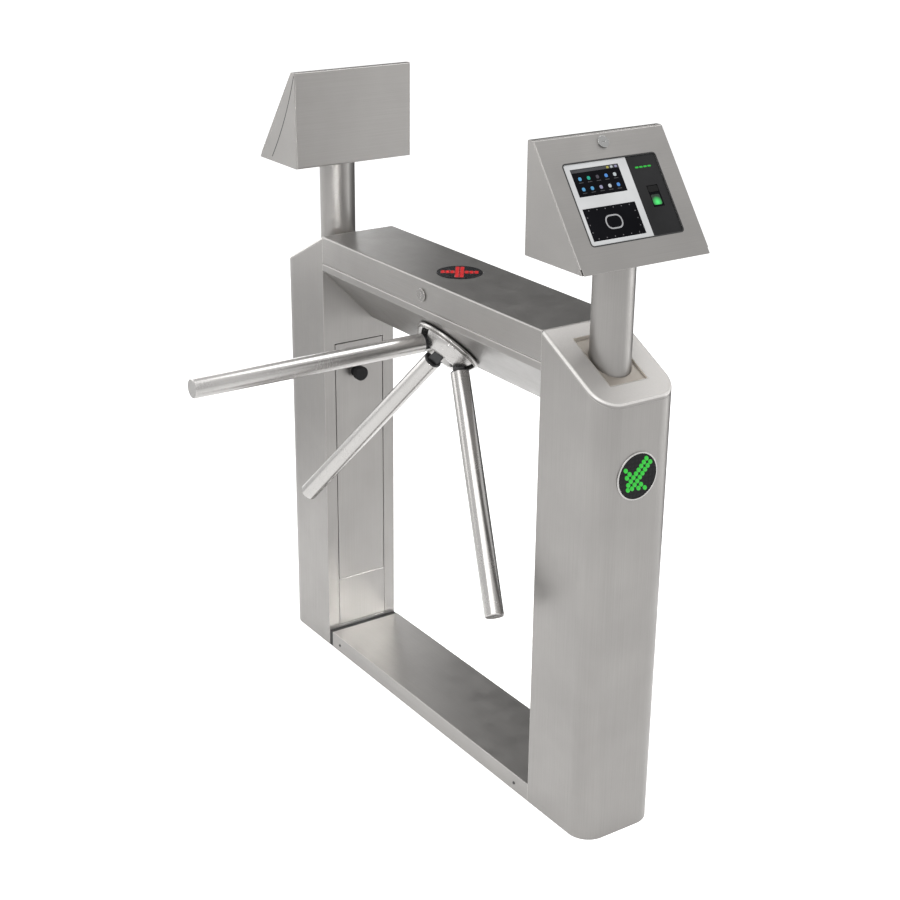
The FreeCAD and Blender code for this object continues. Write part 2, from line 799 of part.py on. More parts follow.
def terminal_prism(depth0, depth1, fit=0.0):
    # The terminal's outline with its rounded corners, between two depths.
    low = terminal_bottom_up() - fit
    half = terminal_width / 2 + fit
    slab = panel_slab(low, low + terminal_height + 2 * fit, depth0, depth1, -half, half)
    inward = Vec(panel_in[0], 0, panel_in[1])
    corners = []
    for edge in slab.Edges:
        along = edge.Vertexes[1].Point - edge.Vertexes[0].Point
        if along.cross(inward).Length < 1e-6:
            corners.append(edge)
    return slab.makeFillet(terminal_corner_radius + fit, corners)


def face_slab(size, centre, depth0, depth1, fit=0.0):
    # A plate on the terminal's face: its centre is given across and down from the panel's top edge.
    up = panel_length - centre[1]
    half_up = size[1] / 2 + fit
    half_across = size[0] / 2 + fit
    return panel_slab(up - half_up, up + half_up, depth0, depth1, centre[0] - half_across,
                      centre[0] + half_across)


def strip_place():
    size = (strip_width, terminal_height)
    centre = (terminal_width / 2 - strip_width / 2, terminal_from_top + terminal_height / 2)
    return size, centre


def screen_place():
    left_width = terminal_width - strip_width
    size = (left_width * screen_width_share, terminal_height * screen_height_share)
    across = -terminal_width / 2 + screen_side_margin + size[0] / 2
    return size, (across, terminal_from_top + screen_top_margin + size[1] / 2)


def window_place():
    left_width = terminal_width - strip_width
    size = (left_width * window_width_share, terminal_height * window_height_share)
    across = -terminal_width / 2 + window_side_margin + size[0] / 2
    return size, (across, terminal_from_top + terminal_height - window_bottom_margin - size[1] / 2)


def sensor_place():
    strip_middle = strip_place()[1]
    return sensor_size, (strip_middle[0] + sensor_offset[0], strip_middle[1] + sensor_offset[1])


def terminal_case():
    low = terminal_bottom_up()
    high = low + terminal_height
    half = terminal_width / 2
    body = terminal_prism(terminal_recess, terminal_depth)
    flange = panel_slab(low - terminal_flange, high + terminal_flange, sheet,
                        sheet + terminal_flange_thickness, -half - terminal_flange, half + terminal_flange)
    pockets = [face_slab(*screen_place(), 0, terminal_recess + glass_thickness, glass_fit),
               face_slab(*window_place(), 0, terminal_recess + glass_thickness, glass_fit),
               face_slab(*strip_place(), 0, terminal_recess + strip_thickness, glass_fit)]
    return fused(body, flange).cut(pockets)


def terminal_windows():
    back = terminal_recess + glass_thickness
    plates = [face_slab(*screen_place(), terminal_recess, back),
              face_slab(*window_place(), terminal_recess, back)]
    sensor_back = terminal_recess + sensor_recess + glass_thickness
    plates.append(face_slab(*sensor_place(), terminal_recess + sensor_recess, sensor_back))
    return plates


def sensor_strip():
    strip = face_slab(*strip_place(), terminal_recess, terminal_recess + strip_thickness)
    cover = strip.common(terminal_prism(0, terminal_depth))
    seat = terminal_recess + sensor_recess + glass_thickness
    return cover.cut(face_slab(*sensor_place(), 0, seat, glass_fit))


# Indicators, built facing up at the origin

def indicator_lens(radius):
    cup = indicator_cup_radius
    bore = cup - indicator_cup_wall
    outline = [(0, 0), (radius, 0), (radius, indicator_flange * 0.6),
               (radius - indicator_flange * 0.4, indicator_flange), (0, indicator_flange)]
    wall = [(bore, -indicator_cup_depth), (cup, -indicator_cup_depth), (cup, 0), (bore, 0)]
    return fused(turned(outline), turned(wall))


def indicator_board():
    top = -indicator_cup_depth
    disc = upright(indicator_cup_radius, 0, 0, top - led_board, top)
    width, depth, height = led_plug
    plug = block(-width / 2, width / 2, -depth / 2, depth / 2, top - led_board - height, top - led_board)
    return fused(disc, plug)


def indicator_bezel():
    outer = indicator_radius
    inner = outer - bezel_width
    return turned([(inner, 0), (outer, 0), (outer, bezel_height * 0.6),
                   (outer - bezel_height * 0.4, bezel_height), (inner, bezel_height)])


def on_end(shape):
    placed = spun(shape, 90, Vec(0, 1, 0))
    placed.translate(Vec(half_length, indicator_shift, indicator_z))
    return placed


def on_lid(shape):
    placed = shape.copy()
    placed.translate(Vec(0, 0, lid_height))
    return placed


# Rotor, built in its own tilted frame with the hub on the -Z side

def arm_place(shape, turn):
    # From the arm's own frame (pivot pin at the origin along Y, arm along +Z) to the rotor's frame.
    placed = shape.copy()
    lean = FreeCAD.Rotation(Vec(0, 1, 0), 180 - arm_cone_angle)
    placed.Placement = FreeCAD.Placement(Vec(pin_radial, 0, -pin_forward), lean).multiply(placed.Placement)
    return spun(placed, turn)


def arm_tube():
    start = arm_collar_start + arm_collar
    end = arm_reach - arm_pin_distance
    bore = arm_radius - arm_wall
    chamfer = arm_end_chamfer
    return turned([(bore, start), (arm_radius, start), (arm_radius, end - chamfer),
                   (arm_radius - chamfer, end), (0, end), (0, end - arm_end_plate),
                   (bore, end - arm_end_plate)])


def arm_knuckle():
    half = tongue_thickness / 2
    eye = rod(tongue_radius, Vec(0, -half, 0), Vec(0, half, 0))
    tongue = block(-tongue_radius, tongue_radius, -half, half, 0, arm_collar_start)
    shoulder = arm_collar_start + arm_collar
    spigot = arm_radius - arm_wall - arm_spigot_fit
    root = turned([(0, arm_collar_start), (arm_radius - arm_collar_chamfer, arm_collar_start),
                   (arm_radius, arm_collar_start + arm_collar_chamfer), (arm_radius, shoulder),
                   (spigot, shoulder), (spigot, shoulder + arm_spigot), (0, shoulder + arm_spigot)])
    bore = rod(arm_pin_radius + running_clearance, Vec(0, -half, 0), Vec(0, half, 0))
    return fused(eye, tongue, root).cut(bore)


def hub_blank():
    # The flank between rim and crown is a shallow dome, square to the arms at its middle.
    crown = hub_back + hub_crown_height
    rim = hub_back + hub_rim_height
    crown_radius = hub_rim_radius - (crown - rim)
    dish = hub_back + hub_dish_height
    bulge = hub_dome_bulge * math.sqrt(0.5)
    back_radius = hub_rim_radius - hub_back_chamfer
    outline = [(hub_rim_radius, rim), (back_radius, hub_back), (0, hub_back), (0, dish),
               (hub_dish_radius, dish), (hub_crown_bore, crown), (crown_radius, crown)]
    corners = [Vec(r, 0, -forward) for r, forward in outline]
    middle = Vec((hub_rim_radius + crown_radius) / 2 + bulge, 0, -(rim + crown) / 2 - bulge)
    flank = Part.Arc(corners[-1], middle, corners[0]).toShape()
    section = Part.Face(Part.Wire([Part.makePolygon(corners), flank]))
    hub = section.revolve(Vec(0, 0, 0), Vec(0, 0, 1), 360)
    rounds = []
    for edge in hub.Edges:
        if isinstance(edge.Curve, Part.Circle):
            radius = edge.Curve.Radius
            if min(abs(radius - crown_radius), abs(radius - hub_rim_radius)) < 1e-4:
                rounds.append(edge)
    return hub.makeFillet(hub_edge_radius, rounds)


def pin_line(radius):
    reach = 2 * hub_rim_radius
    return rod(radius, Vec(pin_radial, -reach, -pin_forward), Vec(pin_radial, reach, -pin_forward))


def arm_pin(turn):
    # Ground flush with the dome at both ends.
    return spun(pin_line(arm_pin_radius).common(hub_blank()), turn)


def hub_body():
    half = tongue_thickness / 2 + tongue_clearance
    floor = pin_forward - tongue_radius - tongue_clearance
    far_end = 2 * hub_rim_radius
    cuts = [upright(shaft_end_radius + running_clearance, 0, 0, -hub_back - hub_spigot_depth, 0)]
    slot = block(hub_dish_radius, far_end, -half, half, -far_end, -floor)
    for turn in arm_turns.values():
        cuts += [spun(cut, turn) for cut in (slot, pin_line(arm_pin_radius + running_clearance))]
    return hub_blank().cut(cuts)


def rotor_flange():
    disc = upright(flange_radius, 0, 0, -hub_back, -flange_gap)
    disc = disc.makeFillet(flange_edge_radius, [e for e in disc.Edges if isinstance(e.Curve, Part.Circle)])
    return disc.cut(upright(shaft_radius + running_clearance, 0, 0, -hub_back - 1, 0))


def main_shaft():
    nut_seat = gear_height + gear_width + disc_collar
    end = nut_seat + shaft_nut + 2
    front = hub_back + hub_spigot_depth - running_clearance
    return turned([(0, -front), (shaft_end_radius, -front), (shaft_end_radius, -hub_back),
                   (shaft_radius, -hub_back), (shaft_radius, nut_seat), (shaft_end_radius, nut_seat),
                   (shaft_end_radius, end - 1),
                   (shaft_end_radius - 1, end), (0, end)])


def shaft_nut_ring():
    seat = gear_height + gear_width + disc_collar
    corner = shaft_nut_across_flats / math.sqrt(3)
    hexagon = [Vec(corner * math.cos(math.radians(60 * k)), corner * math.sin(math.radians(60 * k)), seat)
               for k in range(6)]
    body = closed_face(hexagon).extrude(Vec(0, 0, shaft_nut))
    return body.cut(upright(shaft_end_radius + running_clearance, 0, 0, seat - 1, seat + shaft_nut + 1))


def shaft_bore(z0, z1):
    return upright(shaft_radius + running_clearance, 0, 0, z0 - 1, z1 + 1)


def lock_disc():
    z0 = lock_disc_height
    z1 = z0 + lock_disc_thickness
    collar_base = bearing_rear + bearing_width + pole_fit
    disc = fused(upright(lock_disc_radius, 0, 0, z0, z1), upright(lock_disc_collar, 0, 0, collar_base, z0))
    notch = block(lock_disc_radius - notch_depth, lock_disc_radius + notch_depth, -notch_width / 2,
                  notch_width / 2, z0 - 1, z1 + 1)
    notches = [spun(notch, 360 * k / lock_disc_notches) for k in range(lock_disc_notches)]
    return disc.cut(notches + [shaft_bore(collar_base, z1)])


def gear_outline(teeth, turn, z):
    # Involute teeth: the half thickness at any radius follows from the pitch circle and the pressure angle.
    pitch = gear_module * teeth / 2
    base = pitch * math.cos(math.radians(pressure_angle))
    root = pitch - 1.25 * gear_module
    tip = pitch + gear_module

    def involute(radius):
        slope = math.acos(min(base / radius, 1.0))
        return math.tan(slope) - slope

    at_pitch = math.pi / (2 * teeth) - gear_backlash / (2 * pitch) + involute(pitch)
    start = max(base, root)
    steps = 4
    flank = [(root, at_pitch - involute(start))] if root < base else []
    radii = [start + (tip - start) * k / steps for k in range(steps + 1)]
    flank += [(r, at_pitch - involute(r)) for r in radii]
    points = []
    for tooth in range(teeth):
        middle = math.radians(turn) + 2 * math.pi * tooth / teeth
        rising = [(r, middle - half) for r, half in flank]
        falling = [(r, middle + half) for r, half in reversed(flank)]
        points += [Vec(r * math.cos(a), r * math.sin(a), z) for r, a in rising + falling]
    return closed_face(points)


def main_gear():
    z1 = gear_height + gear_width
    boss_base = lock_disc_height + lock_disc_thickness
    wheel = gear_outline(gear_teeth, 0, gear_height).extrude(Vec(0, 0, gear_width))
    boss = upright(gear_boss_radius, 0, 0, boss_base, gear_height)
    return fused(wheel, boss).cut(shaft_bore(boss_base, z1))


def motor_pinion():
    z0 = gear_height - pinion_overhang
    width = gear_width + 2 * pinion_overhang
    toothed = gear_outline(pinion_teeth, 180 / pinion_teeth, z0).extrude(Vec(0, 0, width))
    shaft = upright(motor_shaft_radius, 0, 0, motor_top() + motor_boss - motor_shaft_depth, z0)
    pinion = fused(toothed, shaft)
    pinion.translate(Vec(pinion_centre, 0, 0))
    return pinion


def motor_top():
    return plate_top + motor_length


def drive_motor():
    case = upright(motor_radius, pinion_centre, 0, plate_top, motor_top())
    rim = [e for e in case.Edges if e.BoundBox.ZMin > plate_top + 1 and isinstance(e.Curve, Part.Circle)]
    case = case.makeChamfer(motor_chamfer, rim)
    boss = upright(motor_boss_radius, pinion_centre, 0, motor_top(), motor_top() + motor_boss)
    bore = upright(motor_shaft_radius + running_clearance, pinion_centre, 0,
                   motor_top() + motor_boss - motor_shaft_depth - 1, motor_top() + 2 * motor_boss)
    return fused(case, boss).cut(bore)


def sensor_disc():
    z0 = gear_height + gear_width
    disc_z = z0 + sensor_disc_lift
    collar = upright(disc_collar_radius, 0, 0, z0, z0 + disc_collar)
    disc = upright(sensor_disc_radius, 0, 0, disc_z, disc_z + sensor_disc_thickness)
    edge = sensor_disc_radius - 2
    window = block(edge - sensor_window[0], edge, -sensor_window[1] / 2, sensor_window[1] / 2, disc_z - 1,
                   disc_z + sensor_disc_thickness + 1)
    windows = [spun(window, 60 + 120 * k) for k in range(3)]
    return fused(collar, disc).cut(windows + [shaft_bore(z0, z0 + disc_collar)])


# Fixed mechanism

def pawl_nose_radius():
    return lock_disc_radius + pawl_nose_gap


def polar(radius, degrees):
    return (radius * math.cos(math.radians(degrees)), radius * math.sin(math.radians(degrees)))


def pawl_pivot():
    nose = polar(pawl_nose_radius(), pawl_angle)
    reach = polar(pawl_arm, pawl_angle - 90)
    return (nose[0] + reach[0], nose[1] + reach[1])


def mirrored_across(shape):
    return shape.mirror(Vec(0, 0, 0), Vec(0, 1, 0))


def pawl():
    z0 = lock_disc_height + (lock_disc_thickness - pawl_thickness) / 2
    z1 = z0 + pawl_thickness
    pivot = pawl_pivot()
    heel = pawl_nose_radius() + pawl_nose_length
    nose = bar(polar(pawl_nose_radius(), pawl_angle), polar(heel, pawl_angle), pawl_nose_width, z0, z1)
    arm = bar(polar(heel - pawl_bar_width / 2, pawl_angle), pivot, pawl_bar_width, z0, z1)
    tail = bar(pivot, (armature_x, armature_y), pawl_bar_width, z0, z1)
    boss = upright(pawl_boss_radius, pivot[0], pivot[1], z0, z1)
    width, thick, height = armature_size
    middle = (z0 + z1) / 2
    armature = block(armature_x - width / 2, armature_x + width / 2, armature_y - thick / 2,
                     armature_y + thick / 2, middle - height / 2, middle + height / 2)
    bore = upright(pawl_pin_radius + running_clearance, pivot[0], pivot[1], z0 - 1, z1 + 1)
    return fused(nose, arm, tail, boss, armature).cut(bore)


def lock_magnet():
    z = lock_disc_height + lock_disc_thickness / 2
    start = magnet_face_y - magnet_length
    coil = rod(magnet_radius, Vec(armature_x, start, z), Vec(armature_x, magnet_face_y - 2, z))
    core = rod(magnet_core_radius, Vec(armature_x, start, z), Vec(armature_x, magnet_face_y, z))
    return fused(coil, core)


def mechanism_frame():
    plate = block(*frame_plate_x, *frame_plate_y, sheet, plate_top)
    housing = upright(housing_radius, 0, 0, -housing_nose, housing_length)
    pieces = [housing]
    bracket_y = magnet_face_y - magnet_length
    pieces.append(block(armature_x - bracket_half_length, armature_x + bracket_half_length, -bracket_y,
                        bracket_y, plate_top, plate_top + bracket_height))
    pivot = pawl_pivot()
    shoulder = lock_disc_height - pole_fit
    pin_top = lock_disc_height + lock_disc_thickness + pawl_pin_head / 2
    for side in (-1, 1):
        pieces.append(upright(pawl_post_radius, pivot[0], side * pivot[1], plate_top, shoulder))
        pieces.append(upright(pawl_pin_radius, pivot[0], side * pivot[1], shoulder, pin_top))
    start = housing_radius - 2
    rib_outline = [(start, plate_top), (housing_radius + rib_reach, plate_top),
                   (start, plate_top + rib_height)]
    rib = side_plate(rib_outline, -rib_thickness / 2, rib_thickness / 2)
    pieces += [spun(rib, turn) for turn in (45, 135, 225, 315)]
    bores = [upright(bearing_shoulder, 0, 0, -2 * housing_nose, housing_length + 1),
             upright(bearing_radius, 0, 0, -2 * housing_nose, bearing_front + bearing_width),
             upright(bearing_radius, 0, 0, bearing_rear, housing_length + 1)]
    return fused(plate, *pieces).cut(bores)


def shaft_bearing(z0):
    ring = upright(bearing_radius - bearing_fit, 0, 0, z0, z0 + bearing_width)
    groove_in = shaft_radius + 3.5
    groove_out = bearing_radius - 3.5
    seal = 0.8
    ring = ring.cut(shaft_bore(z0, z0 + bearing_width))
    for side in (z0 - 1, z0 + bearing_width - seal):
        top = side + 1 + seal
        groove = upright(groove_out, 0, 0, side, top).cut(upright(groove_in, 0, 0, side, top))
        ring = ring.cut(groove)
    return ring


def position_sensor():
    half = sensor_body_width / 2
    base = plate_top + bracket_height
    top = base + sensor_body_height
    back = armature_x - bracket_half_length
    tip = -(sensor_disc_radius - sensor_arm_reach / 2)
    neck = -(gear_module * (gear_teeth / 2 + 1) + 2)
    disc_z = gear_height + gear_width + sensor_disc_lift + sensor_disc_thickness / 2
    body = block(back, tip, -half, half, base, top)
    under = block(neck, tip + 1, -half - 1, half + 1, base - 1, gear_height + gear_width + 1)
    slot = block(neck, tip + 1, -half - 1, half + 1, disc_z - sensor_slot / 2, disc_z + sensor_slot / 2)
    return body.cut([under, slot])


# Electronics

def control_board():
    wall = half_length - sheet
    face = wall - board_standoff - board_thickness
    half = board_width / 2
    top = board_bottom + board_height
    pieces = []
    for y in (-half + standoff_inset, half - standoff_inset):
        for z in (board_bottom + standoff_inset, top - standoff_inset):
            pieces.append(rod(standoff_radius, Vec(face + board_thickness, y, z), Vec(wall, y, z)))
    depth, width, height = relay_size
    pitch = (board_width - 2 * standoff_inset) / relay_count
    for k in range(relay_count):
        y = -half + standoff_inset + pitch * (k + 0.5)
        pieces.append(block(face - depth, face, y - width * 0.35, y + width * 0.35, top - 2 * height,
                            top - height))
    depth, width, height = terminal_strip
    strip_z = board_bottom + terminal_strip_lift
    pieces.append(block(face - depth, face, -half + 1, -half + 1 + width, strip_z, strip_z + height))
    chip_z = board_bottom + board_chip_lift
    pieces.append(block(face - depth / 2, face, 0, board_chip_size, chip_z, chip_z + board_chip_size))
    board = block(face, face + board_thickness, -half, half, board_bottom, top)
    return fused(board, *pieces)


def power_supply():
    wall = half_length - sheet
    face = wall - supply_foot - supply_depth
    half = supply_width / 2
    top = board_bottom + supply_height
    case = block(face, wall - supply_foot, -half, half, board_bottom, top)
    foot = block(wall - supply_foot, wall, -half, half, board_bottom - supply_foot_reach,
                 top + supply_foot_reach)
    width, length = vent_slot
    vents = []
    for k in range(vent_count):
        z = board_bottom + supply_height / 2 + (k - (vent_count - 1) / 2) * vent_pitch
        vents.append(block(face - 1, face + 1, -length / 2, length / 2, z - width / 2, z + width / 2))
    return fused(case, foot).cut(vents)


# Assembly

def lid_pins():
    reach = 1.5 * knuckle_length + knuckle_gap
    pins = []
    for x in hinge_stations():
        start = Vec(x - reach, lid_hinge_y, band_top)
        pins.append(rod(hinge_pin_radius, start, start + Vec(2 * reach, 0, 0)))
    return pins


def turned_round(shape):
    return spun(shape, 180)


def all_parts():
    parts = {
        "base_plate": base_plate(),
        "plinth_cover": plinth_cover(),
        "plinth_seal": plinth_seal(),
        "bridge_housing": bridge_housing(),
        "top_lid": top_lid(),
        "lid_lock": lid_lock(),
        "lid_indicator_lens": on_lid(indicator_lens(indicator_radius)),
        "lid_led_board": on_lid(indicator_board()),
        "power_supply": power_supply(),
        "control_board": mirrored(control_board()),
    }
    both = {"post_shell": post_shell(), "post_cap": post_cap(), "pole": pole(), "door": door(),
            "door_knob": door_knob()}
    for name, shape in both.items():
        parts["near_" + name] = shape
        parts["far_" + name] = mirrored(shape)
    reader = {"reader_box": reader_box(), "reader_panel": reader_panel(), "reader_lock": reader_lock(),
              "terminal_case": terminal_case(), "sensor_strip": sensor_strip(),
              "terminal_windows": Part.makeCompound(terminal_windows())}
    for name, shape in reader.items():
        parts["near_" + name] = shape
        parts["far_" + name] = turned_round(shape)
    pairs = {"lower_panels": lower_panel(),
             "end_indicator_lenses": on_end(indicator_lens(indicator_radius - bezel_width - bezel_gap)),
             "end_indicator_bezels": on_end(indicator_bezel()),
             "end_led_boards": on_end(indicator_board())}
    for name, shape in pairs.items():
        parts[name] = Part.makeCompound([shape, mirrored(shape)])
    near_pins = door_pins() + panel_pins()
    far_pins = [mirrored(pin) for pin in near_pins]
    parts["hinge_pins"] = Part.makeCompound(near_pins + far_pins + lid_pins())
    for name, turn in arm_turns.items():
        parts[name + "_tube"] = tilted(arm_place(arm_tube(), turn))
        parts[name + "_knuckle"] = tilted(arm_place(arm_knuckle(), turn))
    pivot_pins = [tilted(arm_pin(turn)) for turn in arm_turns.values()]
    parts["arm_pivot_pins"] = Part.makeCompound(pivot_pins)
    rotor = {"hub_body": hub_body(), "rotor_flange": rotor_flange(), "main_shaft": main_shaft(),
             "shaft_nut": shaft_nut_ring(), "lock_disc": lock_disc(), "main_gear": main_gear(),
             "sensor_disc": sensor_disc(), "motor_pinion": motor_pinion(), "drive_motor": drive_motor(),
             "mechanism_frame": mechanism_frame(), "position_sensor": position_sensor(),
             "lower_pawl": pawl(), "upper_pawl": mirrored_across(pawl()),
             "lock_magnets": Part.makeCompound([lock_magnet(), mirrored_across(lock_magnet())]),
             "shaft_bearings": Part.makeCompound([shaft_bearing(bearing_front),
                                                  shaft_bearing(bearing_rear)])}
    for name, shape in rotor.items():
        parts[name] = tilted(shape)
    return parts


def main():
    os.makedirs("parts", exist_ok=True)
    for name, shape in all_parts().items():
        shape.exportStep("parts/" + name + ".step")


main()
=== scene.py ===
import json
import math

import bmesh
import bpy
from mathutils import Matrix, Vector


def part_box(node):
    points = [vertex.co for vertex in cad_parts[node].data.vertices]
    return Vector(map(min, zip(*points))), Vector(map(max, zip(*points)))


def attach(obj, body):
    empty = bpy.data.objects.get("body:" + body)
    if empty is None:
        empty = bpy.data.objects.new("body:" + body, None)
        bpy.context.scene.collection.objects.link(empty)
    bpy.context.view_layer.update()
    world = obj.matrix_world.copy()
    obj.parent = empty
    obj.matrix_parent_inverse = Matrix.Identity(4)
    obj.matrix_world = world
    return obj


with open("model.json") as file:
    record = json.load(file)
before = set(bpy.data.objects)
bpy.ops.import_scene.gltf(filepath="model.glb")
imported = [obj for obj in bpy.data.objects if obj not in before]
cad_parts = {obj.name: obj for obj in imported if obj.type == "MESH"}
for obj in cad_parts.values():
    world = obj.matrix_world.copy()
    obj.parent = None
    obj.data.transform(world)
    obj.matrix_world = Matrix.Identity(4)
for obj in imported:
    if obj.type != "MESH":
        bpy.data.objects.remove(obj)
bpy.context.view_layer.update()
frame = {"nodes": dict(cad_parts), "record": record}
nodes = frame["nodes"]
print("frame loaded with", len(nodes), "nodes")

# camera, at the photograph's viewing angle
cameraView = {
    "place": (2.6094, -1.8014, 1.8725),  # metres
    "yaw": -55.778,  # degrees
    "pitch": -22.181,
    "roll": 0.545,
    "lens": 66.296,
    "sensor": 36,
    "shift": (0.0037, 0.01126),
    "sight": 100,
}


def addObject(name, data):
    made = bpy.data.objects.new(name, data)
    bpy.context.scene.collection.objects.link(made)
    return made


def placeCamera(view):
    yaw, pitch, roll = (math.radians(view[key]) for key in ("yaw", "pitch", "roll"))
    ahead = Vector((math.sin(yaw) * math.cos(pitch), math.cos(yaw) * math.cos(pitch), math.sin(pitch)))
    side = Vector((math.cos(yaw), -math.sin(yaw), 0))
    above = side.cross(ahead)
    sideRolled = side * math.cos(roll) + above * math.sin(roll)
    aboveRolled = above * math.cos(roll) - side * math.sin(roll)
    turn = Matrix((sideRolled, aboveRolled, -ahead)).transposed().to_4x4()
    data = bpy.data.cameras.new("photoCamera")
    data.lens = view["lens"]
    data.sensor_width = view["sensor"]
    data.shift_x, data.shift_y = view["shift"]
    data.clip_end = view["sight"]
    camera = addObject("photoCamera", data)
    camera.matrix_world = Matrix.Translation(view["place"]) @ turn
    bpy.context.scene.camera = camera


placeCamera(cameraView)
bpy.context.scene.view_settings.view_transform = "Standard"
print("camera placed")

# node helpers
bevelSamples = 4
edgeTurn = (0.8, 0.97)  # how far the rounded normal turns at an edge, as cosines


def startMaterial(name):
    material = bpy.data.materials.new(name)
    material.use_nodes = True
    tree = material.node_tree
    return material, tree, tree.nodes["Principled BSDF"]


def fillInputs(tree, node, inputs):
    for key, value in inputs.items():
        if isinstance(value, bpy.types.NodeSocket):
            tree.links.new(value, node.inputs[key])
        else:
            node.inputs[key].default_value = value


def addNode(tree, kind, inputs=None, **settings):
    node = tree.nodes.new(kind)
    for key, value in settings.items():
        setattr(node, key, value)
    fillInputs(tree, node, inputs or {})
    return node


def reckon(tree, operation, *values):
    return addNode(tree, "ShaderNodeMath", dict(enumerate(values)), operation=operation).outputs[0]


def even(scale):
    return (scale, scale, scale)


def objectPattern(tree, scale, turn=(0, 0, 0)):
    place = addNode(tree, "ShaderNodeTexCoord").outputs["Object"]
    mapped = addNode(tree, "ShaderNodeMapping", {"Vector": place, "Scale": scale, "Rotation": turn})
    return mapped.outputs["Vector"]


def noise(tree, scale, detail=3, rough=0.5):
    vector = objectPattern(tree, scale)
    inputs = {"Vector": vector, "Scale": 1.0, "Detail": detail, "Roughness": rough}
    return addNode(tree, "ShaderNodeTexNoise", inputs).outputs["Fac"]


def spread(tree, value, low, high, fromLow=0.3, fromHigh=0.7):
    inputs = {"Value": value, "From Min": fromLow, "From Max": fromHigh, "To Min": low, "To Max": high}
    return addNode(tree, "ShaderNodeMapRange", inputs).outputs["Result"]


def blendColours(tree, share, first, second):
    node = addNode(tree, "ShaderNodeMix", data_type="RGBA")
    tree.links.new(share, node.inputs[0])
    for socket, value in ((node.inputs[6], first), (node.inputs[7], second)):
        if isinstance(value, bpy.types.NodeSocket):
            tree.links.new(value, socket)
        else:
            socket.default_value = (*value, 1)
    return node.outputs[2]


def roundedEdges(tree, radius):
    return addNode(tree, "ShaderNodeBevel", {"Radius": radius}, samples=bevelSamples).outputs["Normal"]


def raised(tree, height, strength, distance, normal=None):
    inputs = {"Height": height, "Strength": strength, "Distance": distance}
    if normal:
        inputs["Normal"] = normal
    return addNode(tree, "ShaderNodeBump", inputs).outputs["Normal"]


def edgeShare(tree, rounded):
    # 0 on a face, 1 where the rounded normal turns away at an edge
    face = addNode(tree, "ShaderNodeNewGeometry").outputs["True Normal"]
    along = addNode(tree, "ShaderNodeVectorMath", {0: rounded, 1: face}, operation="DOT_PRODUCT")
    return spread(tree, along.outputs["Value"], 1, 0, *edgeTurn)


def dimmed(colour, share):
    return tuple(share * value for value in colour)


# stainless, satin with a fine hairline along one direction, and edges painted paler as a painted highlight
grainScale = {"x": (6, 900, 900), "y": (900, 6, 900), "z": (900, 900, 6)}
steelSurface = {
    "hairline": (4, 0.6),  # noise detail and roughness
    "hairlineDepth": 0.0003,
    "hairlineShare": 0.35,
    "hairlineShade": 0.88,
    "cloudScale": 5,
    "cloud": (3, 0.55),
    "smearScale": 23,
    "smear": (4, 0.6),
    "edgeHighlightGain": 1.5,
    "roughBelow": 0.05,
    "roughAbove": 0.06,
    "handledRange": (0.7, 1.3),
}


def steel(name, dark, light, rough, grain, edge=0.002, bite=0.05, bare=0.9):
    look = steelSurface
    material, tree, shader = startMaterial(name)
    hairline = noise(tree, grainScale[grain], *look["hairline"])
    cloud = noise(tree, even(look["cloudScale"]), *look["cloud"])
    smear = noise(tree, even(look["smearScale"]), *look["smear"])
    mottled = blendColours(tree, spread(tree, cloud, 0, 1), dark, light)
    lineShare = spread(tree, hairline, 0, look["hairlineShare"])
    lined = blendColours(tree, lineShare, mottled, dimmed(dark, look["hairlineShade"]))
    rounded = roundedEdges(tree, edge)
    # painted highlight: the rounded edges take a paler tone
    edgeHighlighted = blendColours(tree, edgeShare(tree, rounded), lined, dimmed(light, look["edgeHighlightGain"]))
    handled = reckon(tree, "ADD", smear, hairline)
    fillInputs(tree, shader, {
        "Base Color": edgeHighlighted,
        "Roughness": spread(tree, handled, rough - look["roughBelow"], rough + look["roughAbove"],
                            *look["handledRange"]),
        "Normal": raised(tree, hairline, bite, look["hairlineDepth"], rounded),
        "Metallic": bare,
    })
    return material


# post caps: satin skirt, a rim painted bright as a painted highlight, a matt slope whose paler tone is
# painted light from above, and pocket walls painted pale as painted light in the recess
capSurface = {
    "pocketCentre": 0.4715,
    "pocketReach": 0.055,
    "pocketHalf": 0.0425,
    "slopeTurn": (0.3, 0.6),  # upward part of the normal
    "rimStart": (0.05, 0.3),
    "rimEnd": (0.72, 0.85),
    "hairlineShare": 0.3,
    "hairlineShade": 0.9,
    "rough": (0.36, 0.5),  # satin, matt
    "metal": (0.9, 0.3),
    "bite": 0.05,
    "edge": 0.004,
}


